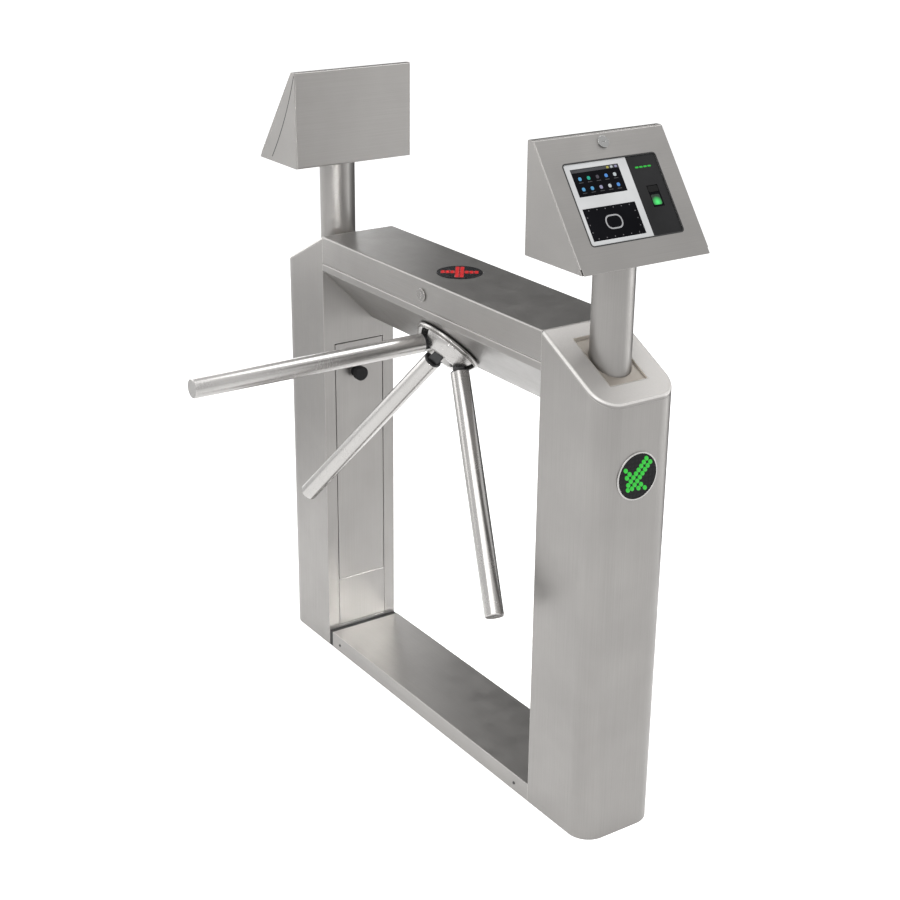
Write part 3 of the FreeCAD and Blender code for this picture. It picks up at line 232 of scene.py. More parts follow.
def capSteel(name, satin, pale, bright, pocketLit):
    look = capSurface
    material, tree, shader = startMaterial(name)
    hairline = noise(tree, grainScale["x"], *steelSurface["hairline"])
    cloud = spread(tree, noise(tree, even(steelSurface["cloudScale"]), *steelSurface["cloud"]), 0, 1)
    coords = addNode(tree, "ShaderNodeTexCoord")
    upward = addNode(tree, "ShaderNodeSeparateXYZ", {0: coords.outputs["Normal"]}).outputs["Z"]
    place = addNode(tree, "ShaderNodeSeparateXYZ", {0: coords.outputs["Object"]})
    fromMiddle = reckon(tree, "ABSOLUTE", place.outputs["X"])
    alongPocket = reckon(tree, "COMPARE", fromMiddle, look["pocketCentre"], look["pocketReach"])
    acrossPocket = reckon(tree, "COMPARE", place.outputs["Y"], 0.0, look["pocketHalf"])
    inPocket = reckon(tree, "MULTIPLY", alongPocket, acrossPocket)
    # the upward slope turns matt, and its paler tone is painted light from above
    slope = spread(tree, upward, 0, 1, *look["slopeTurn"])
    matt = reckon(tree, "MAXIMUM", slope, inPocket)
    outside = blendColours(tree, slope, blendColours(tree, cloud, *satin), blendColours(tree, cloud, *pale))
    # painted highlight: the rim between skirt and slope takes a bright tone
    pastSkirt = spread(tree, upward, 0, 1, *look["rimStart"])
    beforeSlope = spread(tree, upward, 1, 0, *look["rimEnd"])
    onRim = reckon(tree, "MULTIPLY", pastSkirt, beforeSlope)
    # painted light: the pocket's walls take a pale tone that lifts the shade in the recess
    tone = blendColours(tree, inPocket, blendColours(tree, onRim, outside, bright), pocketLit)
    lineShare = spread(tree, hairline, 0, look["hairlineShare"])
    lined = blendColours(tree, lineShare, tone, dimmed(satin[0], look["hairlineShade"]))
    rounded = roundedEdges(tree, look["edge"])
    fillInputs(tree, shader, {
        "Base Color": lined,
        "Roughness": spread(tree, matt, *look["rough"], 0, 1),
        "Metallic": spread(tree, matt, *look["metal"], 0, 1),
        "Normal": raised(tree, hairline, look["bite"], steelSurface["hairlineDepth"], rounded),
    })
    return material


# plastics, paint and rubber, with a fine moulded grain
plasticSurface = {"grainDetail": 2, "grainDepth": 0.0002, "cloudScale": 14, "roughSwing": 0.05}


def plastic(name, dark, light, rough, texture=600, bite=0.08, edge=0.0006, coat=0.0, gloss=0.5):
    look = plasticSurface
    material, tree, shader = startMaterial(name)
    grain = noise(tree, even(texture), look["grainDetail"])
    cloud = noise(tree, even(look["cloudScale"]))
    fillInputs(tree, shader, {
        "Base Color": blendColours(tree, spread(tree, cloud, 0, 1), dark, light),
        "Roughness": spread(tree, grain, rough - look["roughSwing"], rough + look["roughSwing"]),
        "Normal": raised(tree, grain, bite, look["grainDepth"], roundedEdges(tree, edge)),
        "Coat Weight": coat,
        "Specular IOR Level": gloss,
    })
    return material


# lit pieces
glowSurface = {
    "grain": 400,
    "grainDetail": 2,
    "bodyShares": (0.34, 0.4),
    "litShare": 0.86,
    "rough": 0.3,
    "gloss": 0.15,
    "fade": (0.1, 0.85),
    "fadingRough": 0.25,
}


def glowing(name, colour, strength):
    look = glowSurface
    material, tree, shader = startMaterial(name)
    cloud = spread(tree, noise(tree, even(look["grain"]), look["grainDetail"]), 0, 1)
    low, high = look["bodyShares"]
    fillInputs(tree, shader, {
        "Base Color": blendColours(tree, cloud, dimmed(colour, low), dimmed(colour, high)),
        "Emission Color": blendColours(tree, cloud, dimmed(colour, look["litShare"]), colour),
        "Emission Strength": strength,
        "Roughness": look["rough"],
        "Specular IOR Level": look["gloss"],
    })
    return material


def fadingGlow(name, centre, radius, rim, core, strength):
    # brightest at one point of the piece and dark around it
    look = glowSurface
    material, tree, shader = startMaterial(name)
    place = addNode(tree, "ShaderNodeTexCoord").outputs["Object"]
    inputs = {"Vector": place, "Location": centre, "Scale": even(radius)}
    centred = addNode(tree, "ShaderNodeMapping", inputs, vector_type="TEXTURE").outputs["Vector"]
    near = addNode(tree, "ShaderNodeTexGradient", {"Vector": centred}, gradient_type="SPHERICAL")
    shade = blendColours(tree, spread(tree, near.outputs["Fac"], 0, 1, *look["fade"]), rim, core)
    fillInputs(tree, shader, {
        "Base Color": shade,
        "Emission Color": shade,
        "Emission Strength": strength,
        "Roughness": look["fadingRough"],
    })
    return material


# smoked lens over unlit dots
lensSurface = {
    "cellScale": 120,
    "cellEdge": (0.34, 0.42),
    "dot": (0.012, 0.012, 0.0135),
    "ground": (0.006, 0.006, 0.007),
    "hazeScale": 60,
    "rough": (0.2, 0.32),
    "gloss": 0.12,
}


def smokedLens(name):
    look = lensSurface
    material, tree, shader = startMaterial(name)
    inputs = {"Vector": objectPattern(tree, even(look["cellScale"])), "Scale": 1.0, "Randomness": 0.0}
    dots = addNode(tree, "ShaderNodeTexVoronoi", inputs).outputs["Distance"]
    unlit = spread(tree, dots, 0, 1, *look["cellEdge"])
    fillInputs(tree, shader, {
        "Base Color": blendColours(tree, unlit, look["dot"], look["ground"]),
        "Roughness": spread(tree, noise(tree, even(look["hazeScale"])), *look["rough"]),
        "Specular IOR Level": look["gloss"],
    })
    return material


# green circuit board with pale traces
boardSurface = {
    "traceScale": 190,
    "traceWidth": 0.08,
    "tones": ((0.012, 0.11, 0.05, 1), (0.016, 0.14, 0.06, 1)),
    "trace": (0.04, 0.24, 0.1, 1),
    "grain": 300,
    "grainDetail": 2,
    "rough": (0.35, 0.5),
    "bite": 0.3,
    "depth": 0.0002,
}


def circuitBoard(name):
    look = boardSurface
    material, tree, shader = startMaterial(name)
    first, second = look["tones"]
    inputs = {"Vector": objectPattern(tree, even(look["traceScale"])), "Scale": 1.0,
              "Mortar Size": look["traceWidth"], "Color1": first, "Color2": second, "Mortar": look["trace"]}
    traces = addNode(tree, "ShaderNodeTexBrick", inputs)
    grain = noise(tree, even(look["grain"]), look["grainDetail"])
    fillInputs(tree, shader, {
        "Base Color": traces.outputs["Color"],
        "Roughness": spread(tree, grain, *look["rough"]),
        "Normal": raised(tree, traces.outputs["Fac"], look["bite"], look["depth"]),
    })
    return material


# copper winding across the tilted magnets
coilSurface = {
    "scale": (1, 700, 700),
    "tilt": 45,
    "waver": 0.4,
    "tones": ((0.2, 0.06, 0.02), (0.5, 0.2, 0.07)),
    "rough": (0.3, 0.5),
    "bite": 0.5,
    "depth": 0.0003,
    "metal": 0.4,
}


def woundCoil(name):
    look = coilSurface
    material, tree, shader = startMaterial(name)
    vector = objectPattern(tree, look["scale"], (math.radians(look["tilt"]), 0, 0))
    inputs = {"Vector": vector, "Scale": 1.0, "Distortion": look["waver"]}
    turns = addNode(tree, "ShaderNodeTexWave", inputs, bands_direction="Y").outputs["Fac"]
    fillInputs(tree, shader, {
        "Base Color": blendColours(tree, turns, *look["tones"]),
        "Roughness": spread(tree, turns, *look["rough"], 0, 1),
        "Normal": raised(tree, turns, look["bite"], look["depth"]),
        "Metallic": look["metal"],
    })
    return material


# finishes, by material slot and then by node
satinTone = ((0.274, 0.265, 0.256), (0.312, 0.302, 0.291))
brightTone = ((0.42, 0.41, 0.4), (0.47, 0.459, 0.447))
machinedTone = ((0.34, 0.34, 0.35), (0.44, 0.44, 0.45))
zincTone = ((0.36, 0.38, 0.39), (0.5, 0.52, 0.53))
aluminiumTone = ((0.55, 0.56, 0.57), (0.66, 0.67, 0.68))
platedTone = ((0.3, 0.3, 0.295), (0.36, 0.36, 0.355))
blackenedTone = ((0.012, 0.012, 0.013), (0.026, 0.026, 0.028))
paintTone = ((0.13, 0.14, 0.15), (0.19, 0.2, 0.215))
rubberTone = ((0.008, 0.008, 0.008), (0.016, 0.016, 0.016))
silverTone = ((0.5, 0.505, 0.51), (0.58, 0.585, 0.59))
windowTone = ((0.003, 0.003, 0.004), (0.006, 0.006, 0.008))
charcoalTone = ((0.01, 0.01, 0.0105), (0.017, 0.017, 0.018))
enamelTone = ((0.03, 0.033, 0.04), (0.05, 0.055, 0.06))
# the cap slope's paler tone is painted light from above
capSlopeLitTone = ((0.42, 0.405, 0.39), (0.46, 0.444, 0.427))
# the cap rim's bright tone is a painted highlight
rimHighlightTone = (0.72, 0.7, 0.68)
# pale pocket walls: painted light in a recess where shade falls
pocketLitTone = (0.8, 0.735, 0.655)
plateTone = ((0.27, 0.243, 0.212), (0.33, 0.299, 0.262))
finishes = {
    "satin_steel": steel("satinSheetUpright", *satinTone, rough=0.39, grain="z"),
    "polished_steel": steel("brightTube", *brightTone, rough=0.24, grain="z", edge=0.0006, bite=0.03),
    "machined_steel": steel("machinedSteel", *machinedTone, rough=0.32, grain="y", edge=0.0004),
    "galvanised": steel("galvanisedPlate", *zincTone, rough=0.46, grain="x", edge=0.0008),
    "supply_aluminium": steel("bareAluminium", *aluminiumTone, rough=0.4, grain="z", edge=0.0006),
    "lock_chrome": steel("platedLock", *platedTone, rough=0.15, grain="y", edge=0.0009, bite=0.02),
    "black_steel": plastic("blackenedSteel", *blackenedTone, rough=0.36, texture=900, bite=0.06),
    "frame_paint": plastic("castingPaint", *paintTone, rough=0.48, texture=500, bite=0.2, edge=0.0012),
    "seal_rubber": plastic("blackRubber", *rubberTone, rough=0.68, texture=800, bite=0.2),
    "dark_lens": smokedLens("smokedLens"),
    "terminal_shell": plastic("silverPlastic", *silverTone, rough=0.34, texture=1200, bite=0.04, edge=0.0008,
                              coat=0.2),
    "terminal_glass": plastic("blackWindow", *windowTone, rough=0.12, texture=200, bite=0.005, gloss=0.03),
    "black_plastic": plastic("charcoalPlastic", *charcoalTone, rough=0.4, texture=1500, bite=0.1, gloss=0.12),
    "circuit_board": circuitBoard("greenBoard"),
    "motor_case": plastic("motorEnamel", *enamelTone, rough=0.35, texture=400, bite=0.1, edge=0.001,
                          coat=0.2),
    "coil_wrap": woundCoil("woundCoil"),
}
satinAlong = steel("satinSheetAlong", *satinTone, rough=0.34, grain="x", edge=0.003)
satinReader = steel("satinReader", *satinTone, rough=0.36, grain="y", edge=0.001)
satinPole = steel("satinPole", *satinTone, rough=0.38, grain="z", edge=0.0006)
satinLock = steel("satinLock", *satinTone, rough=0.2, grain="y", edge=0.0025, bite=0.02)
satinCap = capSteel("satinCap", satinTone, capSlopeLitTone, rimHighlightTone, pocketLitTone)
pocketLining = steel("pocketLining", *plateTone, rough=0.5, grain="x", bare=0.3)
finishGroups = (
    (satinAlong, ("top_lid", "bridge_housing", "plinth_cover")),
    (satinPole, ("near_pole", "far_pole")),
    (satinCap, ("near_post_cap", "far_post_cap")),
    (satinReader, ("near_reader_box", "far_reader_box", "near_reader_panel", "far_reader_panel")),
    (satinLock, ("lid_lock",)),
    (finishes["polished_steel"], ("arm_pivot_pins",)),
)
finishByNode = {name: finish for finish, names in finishGroups for name in names}

for subpart in frame["record"]["subparts"]:
    node = nodes[subpart["node"]]
    chosen = finishByNode.get(subpart["node"], finishes[subpart["material_slot"]])
    if node.data.materials:
        for index in range(len(node.data.materials)):
            node.data.materials[index] = chosen
    else:
        node.data.materials.append(chosen)
print("finishes on", len(nodes), "nodes")

# tools for new pieces
weldDistance = 1e-6
sharpAngle = 35
cornerSegments = 4
dotForm = {"sides": 14, "taper": 0.85}


def meshFrom(name, shape):
    mesh = bpy.data.meshes.new(name)
    shape.to_mesh(mesh)
    shape.free()
    return mesh


def finishPiece(name, shape, body, material):
    bmesh.ops.remove_doubles(shape, verts=shape.verts, dist=weldDistance)
    bmesh.ops.recalc_face_normals(shape, faces=shape.faces)
    mesh = meshFrom(name, shape)
    mesh.shade_smooth()
    mesh.set_sharp_from_angle(angle=math.radians(sharpAngle))
    mesh.materials.append(material)
    piece = addObject(name, mesh)
    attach(piece, body)


def facing(origin, right, above):
    right = Vector(right).normalized()
    above = Vector(above).normalized()
    turn = Matrix((right, above, right.cross(above))).transposed().to_4x4()
    return Matrix.Translation(origin) @ turn


def outward(place):
    return place.to_3x3().col[2]


def thicken(shape, faces, lift):
    moved = bmesh.ops.extrude_face_region(shape, geom=faces)["geom"]
    corners = [item for item in moved if isinstance(item, bmesh.types.BMVert)]
    bmesh.ops.translate(shape, vec=lift, verts=corners)
    return [item for item in moved if isinstance(item, bmesh.types.BMFace)]


def thickenRim(shape, inside, wall, lift):
    band = bmesh.ops.inset_region(shape, faces=inside, thickness=wall, use_boundary=True,
                                  use_even_offset=True)
    bmesh.ops.delete(shape, geom=inside, context="FACES")
    thicken(shape, band["faces"], lift)


def addPlate(shape, place, across, up, width, height, corner=0.0):
    before = set(shape.faces)
    spot = place @ Matrix.Translation((across, up, 0)) @ Matrix.Diagonal((width, height, 1, 1))
    made = bmesh.ops.create_grid(shape, x_segments=1, y_segments=1, size=0.5, matrix=spot)
    if corner:
        bmesh.ops.bevel(shape, geom=made["verts"], offset=corner, segments=cornerSegments, profile=0.5,
                        affect="VERTICES", material=-1)
    return [face for face in shape.faces if face not in before]


def addTile(shape, place, across, up, width, height, thick, corner=0.0):
    thicken(shape, addPlate(shape, place, across, up, width, height, corner), outward(place) * thick)


def addLoop(shape, place, across, up, width, height, thick, corner, wall):
    inside = addPlate(shape, place, across, up, width, height, corner)
    thickenRim(shape, inside, wall, outward(place) * thick)


def addDisc(shape, place, across, up, radius, thick, segments=16):
    spot = place @ Matrix.Translation((across, up, 0))
    made = bmesh.ops.create_circle(shape, cap_ends=True, segments=segments, radius=radius, matrix=spot)
    return thicken(shape, [made["verts"][0].link_faces[0]], outward(place) * thick)


def addDot(shape, place, across, up, radius, height, stretch=1.0):
    spot = place @ Matrix.Translation((across, up, height / 2)) @ Matrix.Diagonal((stretch, 1, 1, 1))
    bmesh.ops.create_cone(shape, cap_ends=True, segments=dotForm["sides"], radius1=radius,
                          radius2=dotForm["taper"] * radius, depth=height, matrix=spot)


# end arrows and the lid's cross, lit dots in rows
ledSigns = {
    "proud": 0.0005,
    "arrowRows": (2, 2, 2, 2, 2, 6, 4, 2),  # dots in each row, from the tail
    "arrowTail": -0.035,
    "arrowTip": 0.0303,
    "arrowLean": 48,  # degrees below level
    "alongPitch": 0.00833,
    "acrossPitch": 0.0125,
    "arrowDot": 0.00412,
    "arrowStretch": 1.38,  # the dots are wider than long
    "crossPitch": 0.0095,
    "crossArm": 4,  # dots from the middle to the end of an arm
    "crossDot": 0.0046,
    "crossTurn": 54,
    "green": (0.045, 0.64, 0.06),
    "red": (0.58, 0.014, 0.016),
    "glow": 0.62,
}


def arrowDots(spec):
    dots = [(0, spec["arrowTip"])]
    for row, count in enumerate(spec["arrowRows"]):
        along = spec["arrowTail"] + row * spec["alongPitch"]
        dots.extend(((k - (count - 1) / 2) * spec["acrossPitch"], along) for k in range(count))
    return dots


def crossDots(spec):
    pitch = spec["crossPitch"]
    steps = [k + 0.5 for k in range(-spec["crossArm"], spec["crossArm"])]
    return [(pitch * i, pitch * j) for i in steps for j in steps if min(abs(i), abs(j)) < 1]


def makeSign(name, place, dots, radius, stretch, body, light):
    shape = bmesh.new()
    for across, along in dots:
        addDot(shape, place, across, along, radius, ledSigns["proud"], stretch)
    finishPiece(name, shape, body, light)


def makeSigns(spec):
    greenLight = glowing("greenLed", spec["green"], spec["glow"])
    redLight = glowing("redLed", spec["red"], spec["glow"])
    lensFar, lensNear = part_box("end_indicator_lenses")
    middle = (lensFar + lensNear) / 2
    lean = math.radians(spec["arrowLean"])
    for side, sign, outerX in (("near", 1, lensNear.x), ("far", -1, lensFar.x)):
        pointing = facing((outerX, middle.y, middle.z), (0, -sign * math.sin(lean), math.cos(lean)),
                          (0, -sign * math.cos(lean), -math.sin(lean)))
        makeSign(side + "_arrow_leds", pointing, arrowDots(spec), spec["arrowDot"], spec["arrowStretch"],
                 "cabinet", greenLight)
    lidLow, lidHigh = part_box("lid_indicator_lens")
    middle = (lidLow + lidHigh) / 2
    turn = math.radians(spec["crossTurn"])
    lidFace = facing((middle.x, middle.y, lidHigh.z), (math.cos(turn), math.sin(turn), 0),
                     (-math.sin(turn), math.cos(turn), 0))
    makeSign("lid_cross_leds", lidFace, crossDots(spec), spec["crossDot"], 1.0, "lid", redLight)


makeSigns(ledSigns)
print("indicator lights made")

# terminal faces: distances across, and down from the panel's top edge
terminalFace = {
    "panelTop": (0.414, 1.325),
    "panelFoot": (0.560, 1.127),
    "recess": 0.001,
    "skin": 0.00025,
    # dark loop round the terminal: painted shade in the gap at its edge
    "gapShadeLoop": (0.2044, 0.1524),
    "gapShadeLoopDown": 0.1235,
    "gapShadeLoopWall": 0.0022,
    "gapShadeLoopCorner": 0.007,
    "iconColumns": (-0.0745, -0.0560, -0.0370, -0.0182, 0.0005),
    "iconRows": (0.0775, 0.0965),
    "iconSize": 0.0066,
    "iconCorner": 0.4,  # share of the icon's size
    "iconGlow": 0.6,
    "captionDrop": 0.0070,
    "captionSize": (0.0092, 0.0013),
    "statusBar": (-0.0367, 0.0633, 0.101, 0.0055),
    "statusDots": (-0.0095, -0.0010, 0.0085),
    "statusSize": (0.0052, 0.0042),
    "statusCorner": 0.0016,
    "statusLayers": 2,
    "loopCentre": (-0.0365, 0.1605),
    "loopSize": (0.036, 0.026),
    "loopCorner": 0.44,  # share of the loop's height
    "loopWall": 0.0026,
    "infraredPitch": (0.0175, 0.0135),
    "infraredReach": (0.0515, 0.0255),
    "infraredAcross": (-2.5, -1.5, -0.5, 0.5, 1.5, 2.5),
    "infraredDown": (-1, 0, 1),
    "infraredDot": 0.0012,
    "ledDashes": (0.0520, 0.0612, 0.0704, 0.0796),
    "ledDashDown": 0.0715,
    "ledDashSize": (0.0072, 0.003),
    "ledDashCorner": 0.001,
    "ledDashTone": (0.03, 0.42, 0.05),
    "ledDashGlow": 0.8,
    "sensorGlow": (0.0695, 0.1335, 0.019, 0.019),
    "glowCorner": 0.003,
    "glowCentre": (0.0695, 0.1385),
    "glowRadius": 0.0125,
    "glowRim": (0, 0.01, 0.003),
    "glowCore": (0.035, 0.5, 0.1),
    "glowStrength": 0.6,
    "sensorHood": (0.0695, 0.1135, 0.022, 0.011),
    "hoodCorner": 0.002,
    "hoodLayers": 3,
    "sensorRecess": 0.001,
}
iconTones = {
    "sky": (0.1, 0.34, 0.6),
    "teal": (0.02, 0.38, 0.26),
    "azure": (0.09, 0.27, 0.66),
    "pale": (0.52, 0.56, 0.58),
    "lilac": (0.3, 0.29, 0.42),
    "dusk": (0.07, 0.065, 0.08),
    "amber": (0.42, 0.38, 0.08),
}
iconLayout = [("sky", "teal", "dusk", "azure", "pale"), ("sky", "sky", "lilac", "pale", "azure")]
statusTones = ("amber", "pale", "lilac")
iconLights = {name: glowing("icon" + name.capitalize(), tone, terminalFace["iconGlow"])
              for name, tone in iconTones.items()}
dashLight = glowing("dashGreen", terminalFace["ledDashTone"], terminalFace["ledDashGlow"])
paleLoop = plastic("paleLoop", (0.3, 0.3, 0.31), (0.38, 0.38, 0.39), rough=0.35)
infraredDots = plastic("infraredDots", (0.09, 0.085, 0.09), (0.13, 0.125, 0.13), rough=0.25)
barShade = plastic("statusShade", (0.045, 0.045, 0.05), (0.07, 0.07, 0.075), rough=0.3, gloss=0.1)
hoodBlack = plastic("hoodBlack", (0.004, 0.004, 0.004), (0.007, 0.007, 0.007), rough=0.5, gloss=0.1)


def panelPlace(side):
    sign = 1 if side == "near" else -1
    top, foot = terminalFace["panelTop"], terminalFace["panelFoot"]
    above = Vector((sign * (top[0] - foot[0]), 0, top[1] - foot[1])).normalized()
    right = Vector((0, sign, 0))
    inward = -right.cross(above)
    origin = Vector((sign * top[0], 0, top[1])) + inward * terminalFace["recess"]
    return facing(origin, right, above)


def drawTerminal(side):
    spec = terminalFace
    place = panelPlace(side)
    skin = spec["skin"]
    shapes = {}

    def layer(material):  # one mesh for each finish
        return shapes.setdefault(material.name, (bmesh.new(), material))[0]

    onPanel = place @ Matrix.Translation((0, 0, spec["recess"]))
    # painted shade: a thin dark rubber loop round the terminal stands in for the shadow in the gap
    addLoop(layer(finishes["seal_rubber"]), onPanel, 0, -spec["gapShadeLoopDown"], *spec["gapShadeLoop"], skin,
            spec["gapShadeLoopCorner"], spec["gapShadeLoopWall"])
    size = spec["iconSize"]
    for row, tones in zip(spec["iconRows"], iconLayout):
        for across, tone in zip(spec["iconColumns"], tones):
            addTile(layer(iconLights[tone]), place, across, -row, size, size, skin, spec["iconCorner"] * size)
            addTile(layer(barShade), place, across, -row - spec["captionDrop"], *spec["captionSize"], skin)
    across, down, width, height = spec["statusBar"]
    addTile(layer(barShade), place, across, -down, width, height, skin)
    for across, tone in zip(spec["statusDots"], statusTones):
        addTile(layer(iconLights[tone]), place, across, -down, *spec["statusSize"],
                spec["statusLayers"] * skin, spec["statusCorner"])

    middle, down = spec["loopCentre"]
    width, height = spec["loopSize"]
    addLoop(layer(paleLoop), place, middle, -down, width, height, skin, spec["loopCorner"] * height,
            spec["loopWall"])
    pitchAcross, pitchDown = spec["infraredPitch"]
    reachAcross, reachDown = spec["infraredReach"]
    for sign in (-1, 1):
        for step in spec["infraredAcross"]:
            spot = middle + step * pitchAcross
            addDot(layer(infraredDots), place, spot, sign * reachDown - down, spec["infraredDot"], skin)
        for step in spec["infraredDown"]:
            spot = middle + sign * reachAcross
            addDot(layer(infraredDots), place, spot, step * pitchDown - down, spec["infraredDot"], skin)

    for across in spec["ledDashes"]:
        addTile(layer(dashLight), place, across, -spec["ledDashDown"], *spec["ledDashSize"], skin,
                spec["ledDashCorner"])
    sunk = place @ Matrix.Translation((0, 0, -spec["sensorRecess"]))
    across, down = spec["glowCentre"]
    glow = fadingGlow(side + "SensorGlow", place @ Vector((across, -down, 0)), spec["glowRadius"],
                      spec["glowRim"], spec["glowCore"], spec["glowStrength"])
    across, down, width, height = spec["sensorGlow"]
    addTile(layer(glow), sunk, across, -down, width, height, skin, spec["glowCorner"])
    across, down, width, height = spec["sensorHood"]
    addTile(layer(hoodBlack), sunk, across, -down, width, height, spec["hoodLayers"] * skin,
            spec["hoodCorner"])
    for name, (shape, material) in shapes.items():
        finishPiece(side + "_terminal_" + name, shape, side + "_reader_front", material)


for side in ("near", "far"):
    drawTerminal(side)
print("terminal faces drawn")

# curved joint line on one side of each reader box
sideSeam = {
    "start": (0.402, 1.319),
    "end": (0.504, 1.1375),
    "sag": 0.008,
    "width": 0.0022,
    "proud": 0.00005,
    "wall": 0.1405,
    "steps": 24,
}


def makeSideSeam(name, spec, sign):
    start = Vector((sign * spec["start"][0], sign * spec["wall"], spec["start"][1]))
    end = Vector((sign * spec["end"][0], sign * spec["wall"], spec["end"][1]))
    offWall = Vector((0, sign, 0))
    chord = end - start
    radius = (chord.length ** 2 / 4 + spec["sag"] ** 2) / (2 * spec["sag"])
    toCentre = offWall.cross(chord).normalized()
    if toCentre.z < 0:
        toCentre = -toCentre
    centre = (start + end) / 2 + toCentre * (radius - spec["sag"])
    axis = (start - centre).cross(end - centre).normalized()
    shape = bmesh.new()
    ends = [shape.verts.new(start), shape.verts.new(start + (start - centre).normalized() * spec["width"])]
    edge = shape.edges.new(ends)
    swept = (start - centre).angle(end - centre)
    bmesh.ops.spin(shape, geom=[*ends, edge], cent=centre, axis=axis, angle=swept, steps=spec["steps"],
                   use_merge=False)
    thicken(shape, shape.faces[:], offWall * spec["proud"])
    finishPiece(name, shape, "cabinet", finishes["seal_rubber"])


makeSideSeam("near_reader_seam", sideSeam, 1)
makeSideSeam("far_reader_seam", sideSeam, -1)
print("reader seams made")

# sloping plate in each cap's pocket, around the pole
pocketPlate = {
    "ends": (0.4173, 0.5257),
    "half": 0.0417,
    "pole": 0.4715,
    "hole": 0.0384,
    "capHigh": (0.388, 0.980),  # the cap's slope, x and z
    "capLow": (0.566, 0.887),
    "sunk": (0.006, 0.004),  # at the high end and the low end
    "thick": 0.0008,
    "segments": 72,
}


def makePocketPlate(name, spec, sign):
    (highX, highZ), (lowX, lowZ) = spec["capHigh"], spec["capLow"]
    fall = (highZ - lowZ) / (lowX - highX)
    first, last = spec["ends"]
    deepening = (spec["sunk"][0] - spec["sunk"][1]) / (last - first)
    turns = [2 * math.pi * k / spec["segments"] for k in range(spec["segments"])]
    for x in spec["ends"]:
        for y in (-spec["half"], spec["half"]):
            turns.append(math.atan2(y, x - spec["pole"]) % (2 * math.pi))
    shape = bmesh.new()
    spokes = []
    for turn in sorted(turns):
        along, across = math.cos(turn), math.sin(turn)
        wall = spec["ends"][1 if along > 0 else 0] - spec["pole"]
        reach = 1 / max(along / wall, abs(across) / spec["half"])
        spoke = []
        for distance in (spec["hole"], reach):
            x = spec["pole"] + distance * along
            z = highZ - fall * (x - highX) - spec["sunk"][1] - deepening * (last - x)
            spoke.append(shape.verts.new((sign * x, distance * across, z)))
        spokes.append(spoke)
    for spoke, following in zip(spokes, spokes[1:] + spokes[:1]):
        shape.faces.new((*spoke, *reversed(following)))
    thicken(shape, shape.faces[:], Vector((0, 0, -spec["thick"])))
    finishPiece(name, shape, "cabinet", pocketLining)


makePocketPlate("near_pocket_plate", pocketPlate, 1)
makePocketPlate("far_pocket_plate", pocketPlate, -1)
print("pocket plates made")

# hub seal, and the nuts and screws that hold the mechanism and the electronics
hubCentre = Vector((0, -0.022, 0.838))
rotorFront = facing(hubCentre, (1, 0, 0), (0, -1, 1))  # looks out along the rotor's axis
rotorBack = facing(hubCentre, (1, 0, 0), (0, 1, -1))  # looks into the bridge
screwForm = {  # shares of the screw's height and radius
    "shank": 0.6,
    "rim": 0.2,
    "crown": 0.4,
    "land": 0.3,
    "lip": 0.05,
    "recess": 0.5,
}
nutForm = {  # counts of sides, then shares of the nut's and the stud's height and radius
    "sides": 6,
    "washerSides": 24,
    "shank": 0.8,
    "chamfer": 0.12,
    "crown": 0.2,
    "studShank": 0.7,
    "studChamfer": 0.25,
    "studCrown": 0.3,
}
hubSeal = {"outer": 0.064, "wall": 0.006, "height": 0.0026, "segments": 96}
frameNuts = {"across": (-0.104, 0.096), "up": (-0.072, 0.062), "lift": 0.010, "radius": 0.0058,
             "height": 0.005, "stud": 0.003, "studHeight": 0.0035, "washer": 0.0075, "washerHeight": 0.0012}
motorScrews = {"centre": 0.072, "circle": 0.0205, "turns": (45, 135, 225, 315), "lift": 0.052,
               "radius": 0.0028, "height": 0.003}
plinthScrews = {"across": 0.342, "z": 0.017, "wall": 0.089, "radius": 0.0032, "height": 0.0012}
boardScrews = {"x": -0.5524, "across": 0.037, "z": (0.338, 0.502), "radius": 0.003, "height": 0.002}
stripScrews = {"x": -0.5404, "across": 0.039, "firstZ": 0.359, "pitch": 0.01, "count": 12, "radius": 0.0022,
               "height": 0.0008}
supplyScrews = {"x": 0.562, "across": 0.033, "z": (0.324, 0.496), "radius": 0.0035, "height": 0.0025}
boardCans = {"spots": ((0.012, 0.372), (0.026, 0.372), (0.012, 0.392)), "radius": 0.005, "height": 0.011,
             "sides": 20, "shank": 0.95, "rim": 0.1, "crown": 0.05, "crimp": 0.06, "crimpDepth": 0.0006}


def addScrew(shape, place, across, up, radius, height):
    form = screwForm
    top = addDisc(shape, place, across, up, radius, form["shank"] * height)
    bmesh.ops.inset_region(shape, faces=top, thickness=form["rim"] * radius, depth=form["crown"] * height)
    bmesh.ops.inset_region(shape, faces=top, thickness=form["land"] * radius)
    bmesh.ops.inset_region(shape, faces=top, thickness=form["lip"] * radius, depth=-form["recess"] * height)


def addNut(shape, place, across, up, spec):
    form = nutForm
    radius, height, stud, studHeight = (spec[key] for key in ("radius", "height", "stud", "studHeight"))
    addDisc(shape, place, across, up, spec["washer"], spec["washerHeight"], form["washerSides"])
    seated = place @ Matrix.Translation((0, 0, spec["washerHeight"]))
    top = addDisc(shape, seated, across, up, radius, form["shank"] * height, form["sides"])
    bmesh.ops.inset_region(shape, faces=top, thickness=form["chamfer"] * radius, depth=form["crown"] * height)
    onTop = seated @ Matrix.Translation((0, 0, height))
    top = addDisc(shape, onTop, across, up, stud, form["studShank"] * studHeight)
    bmesh.ops.inset_region(shape, faces=top, thickness=form["studChamfer"] * stud,
                           depth=form["studCrown"] * studHeight)


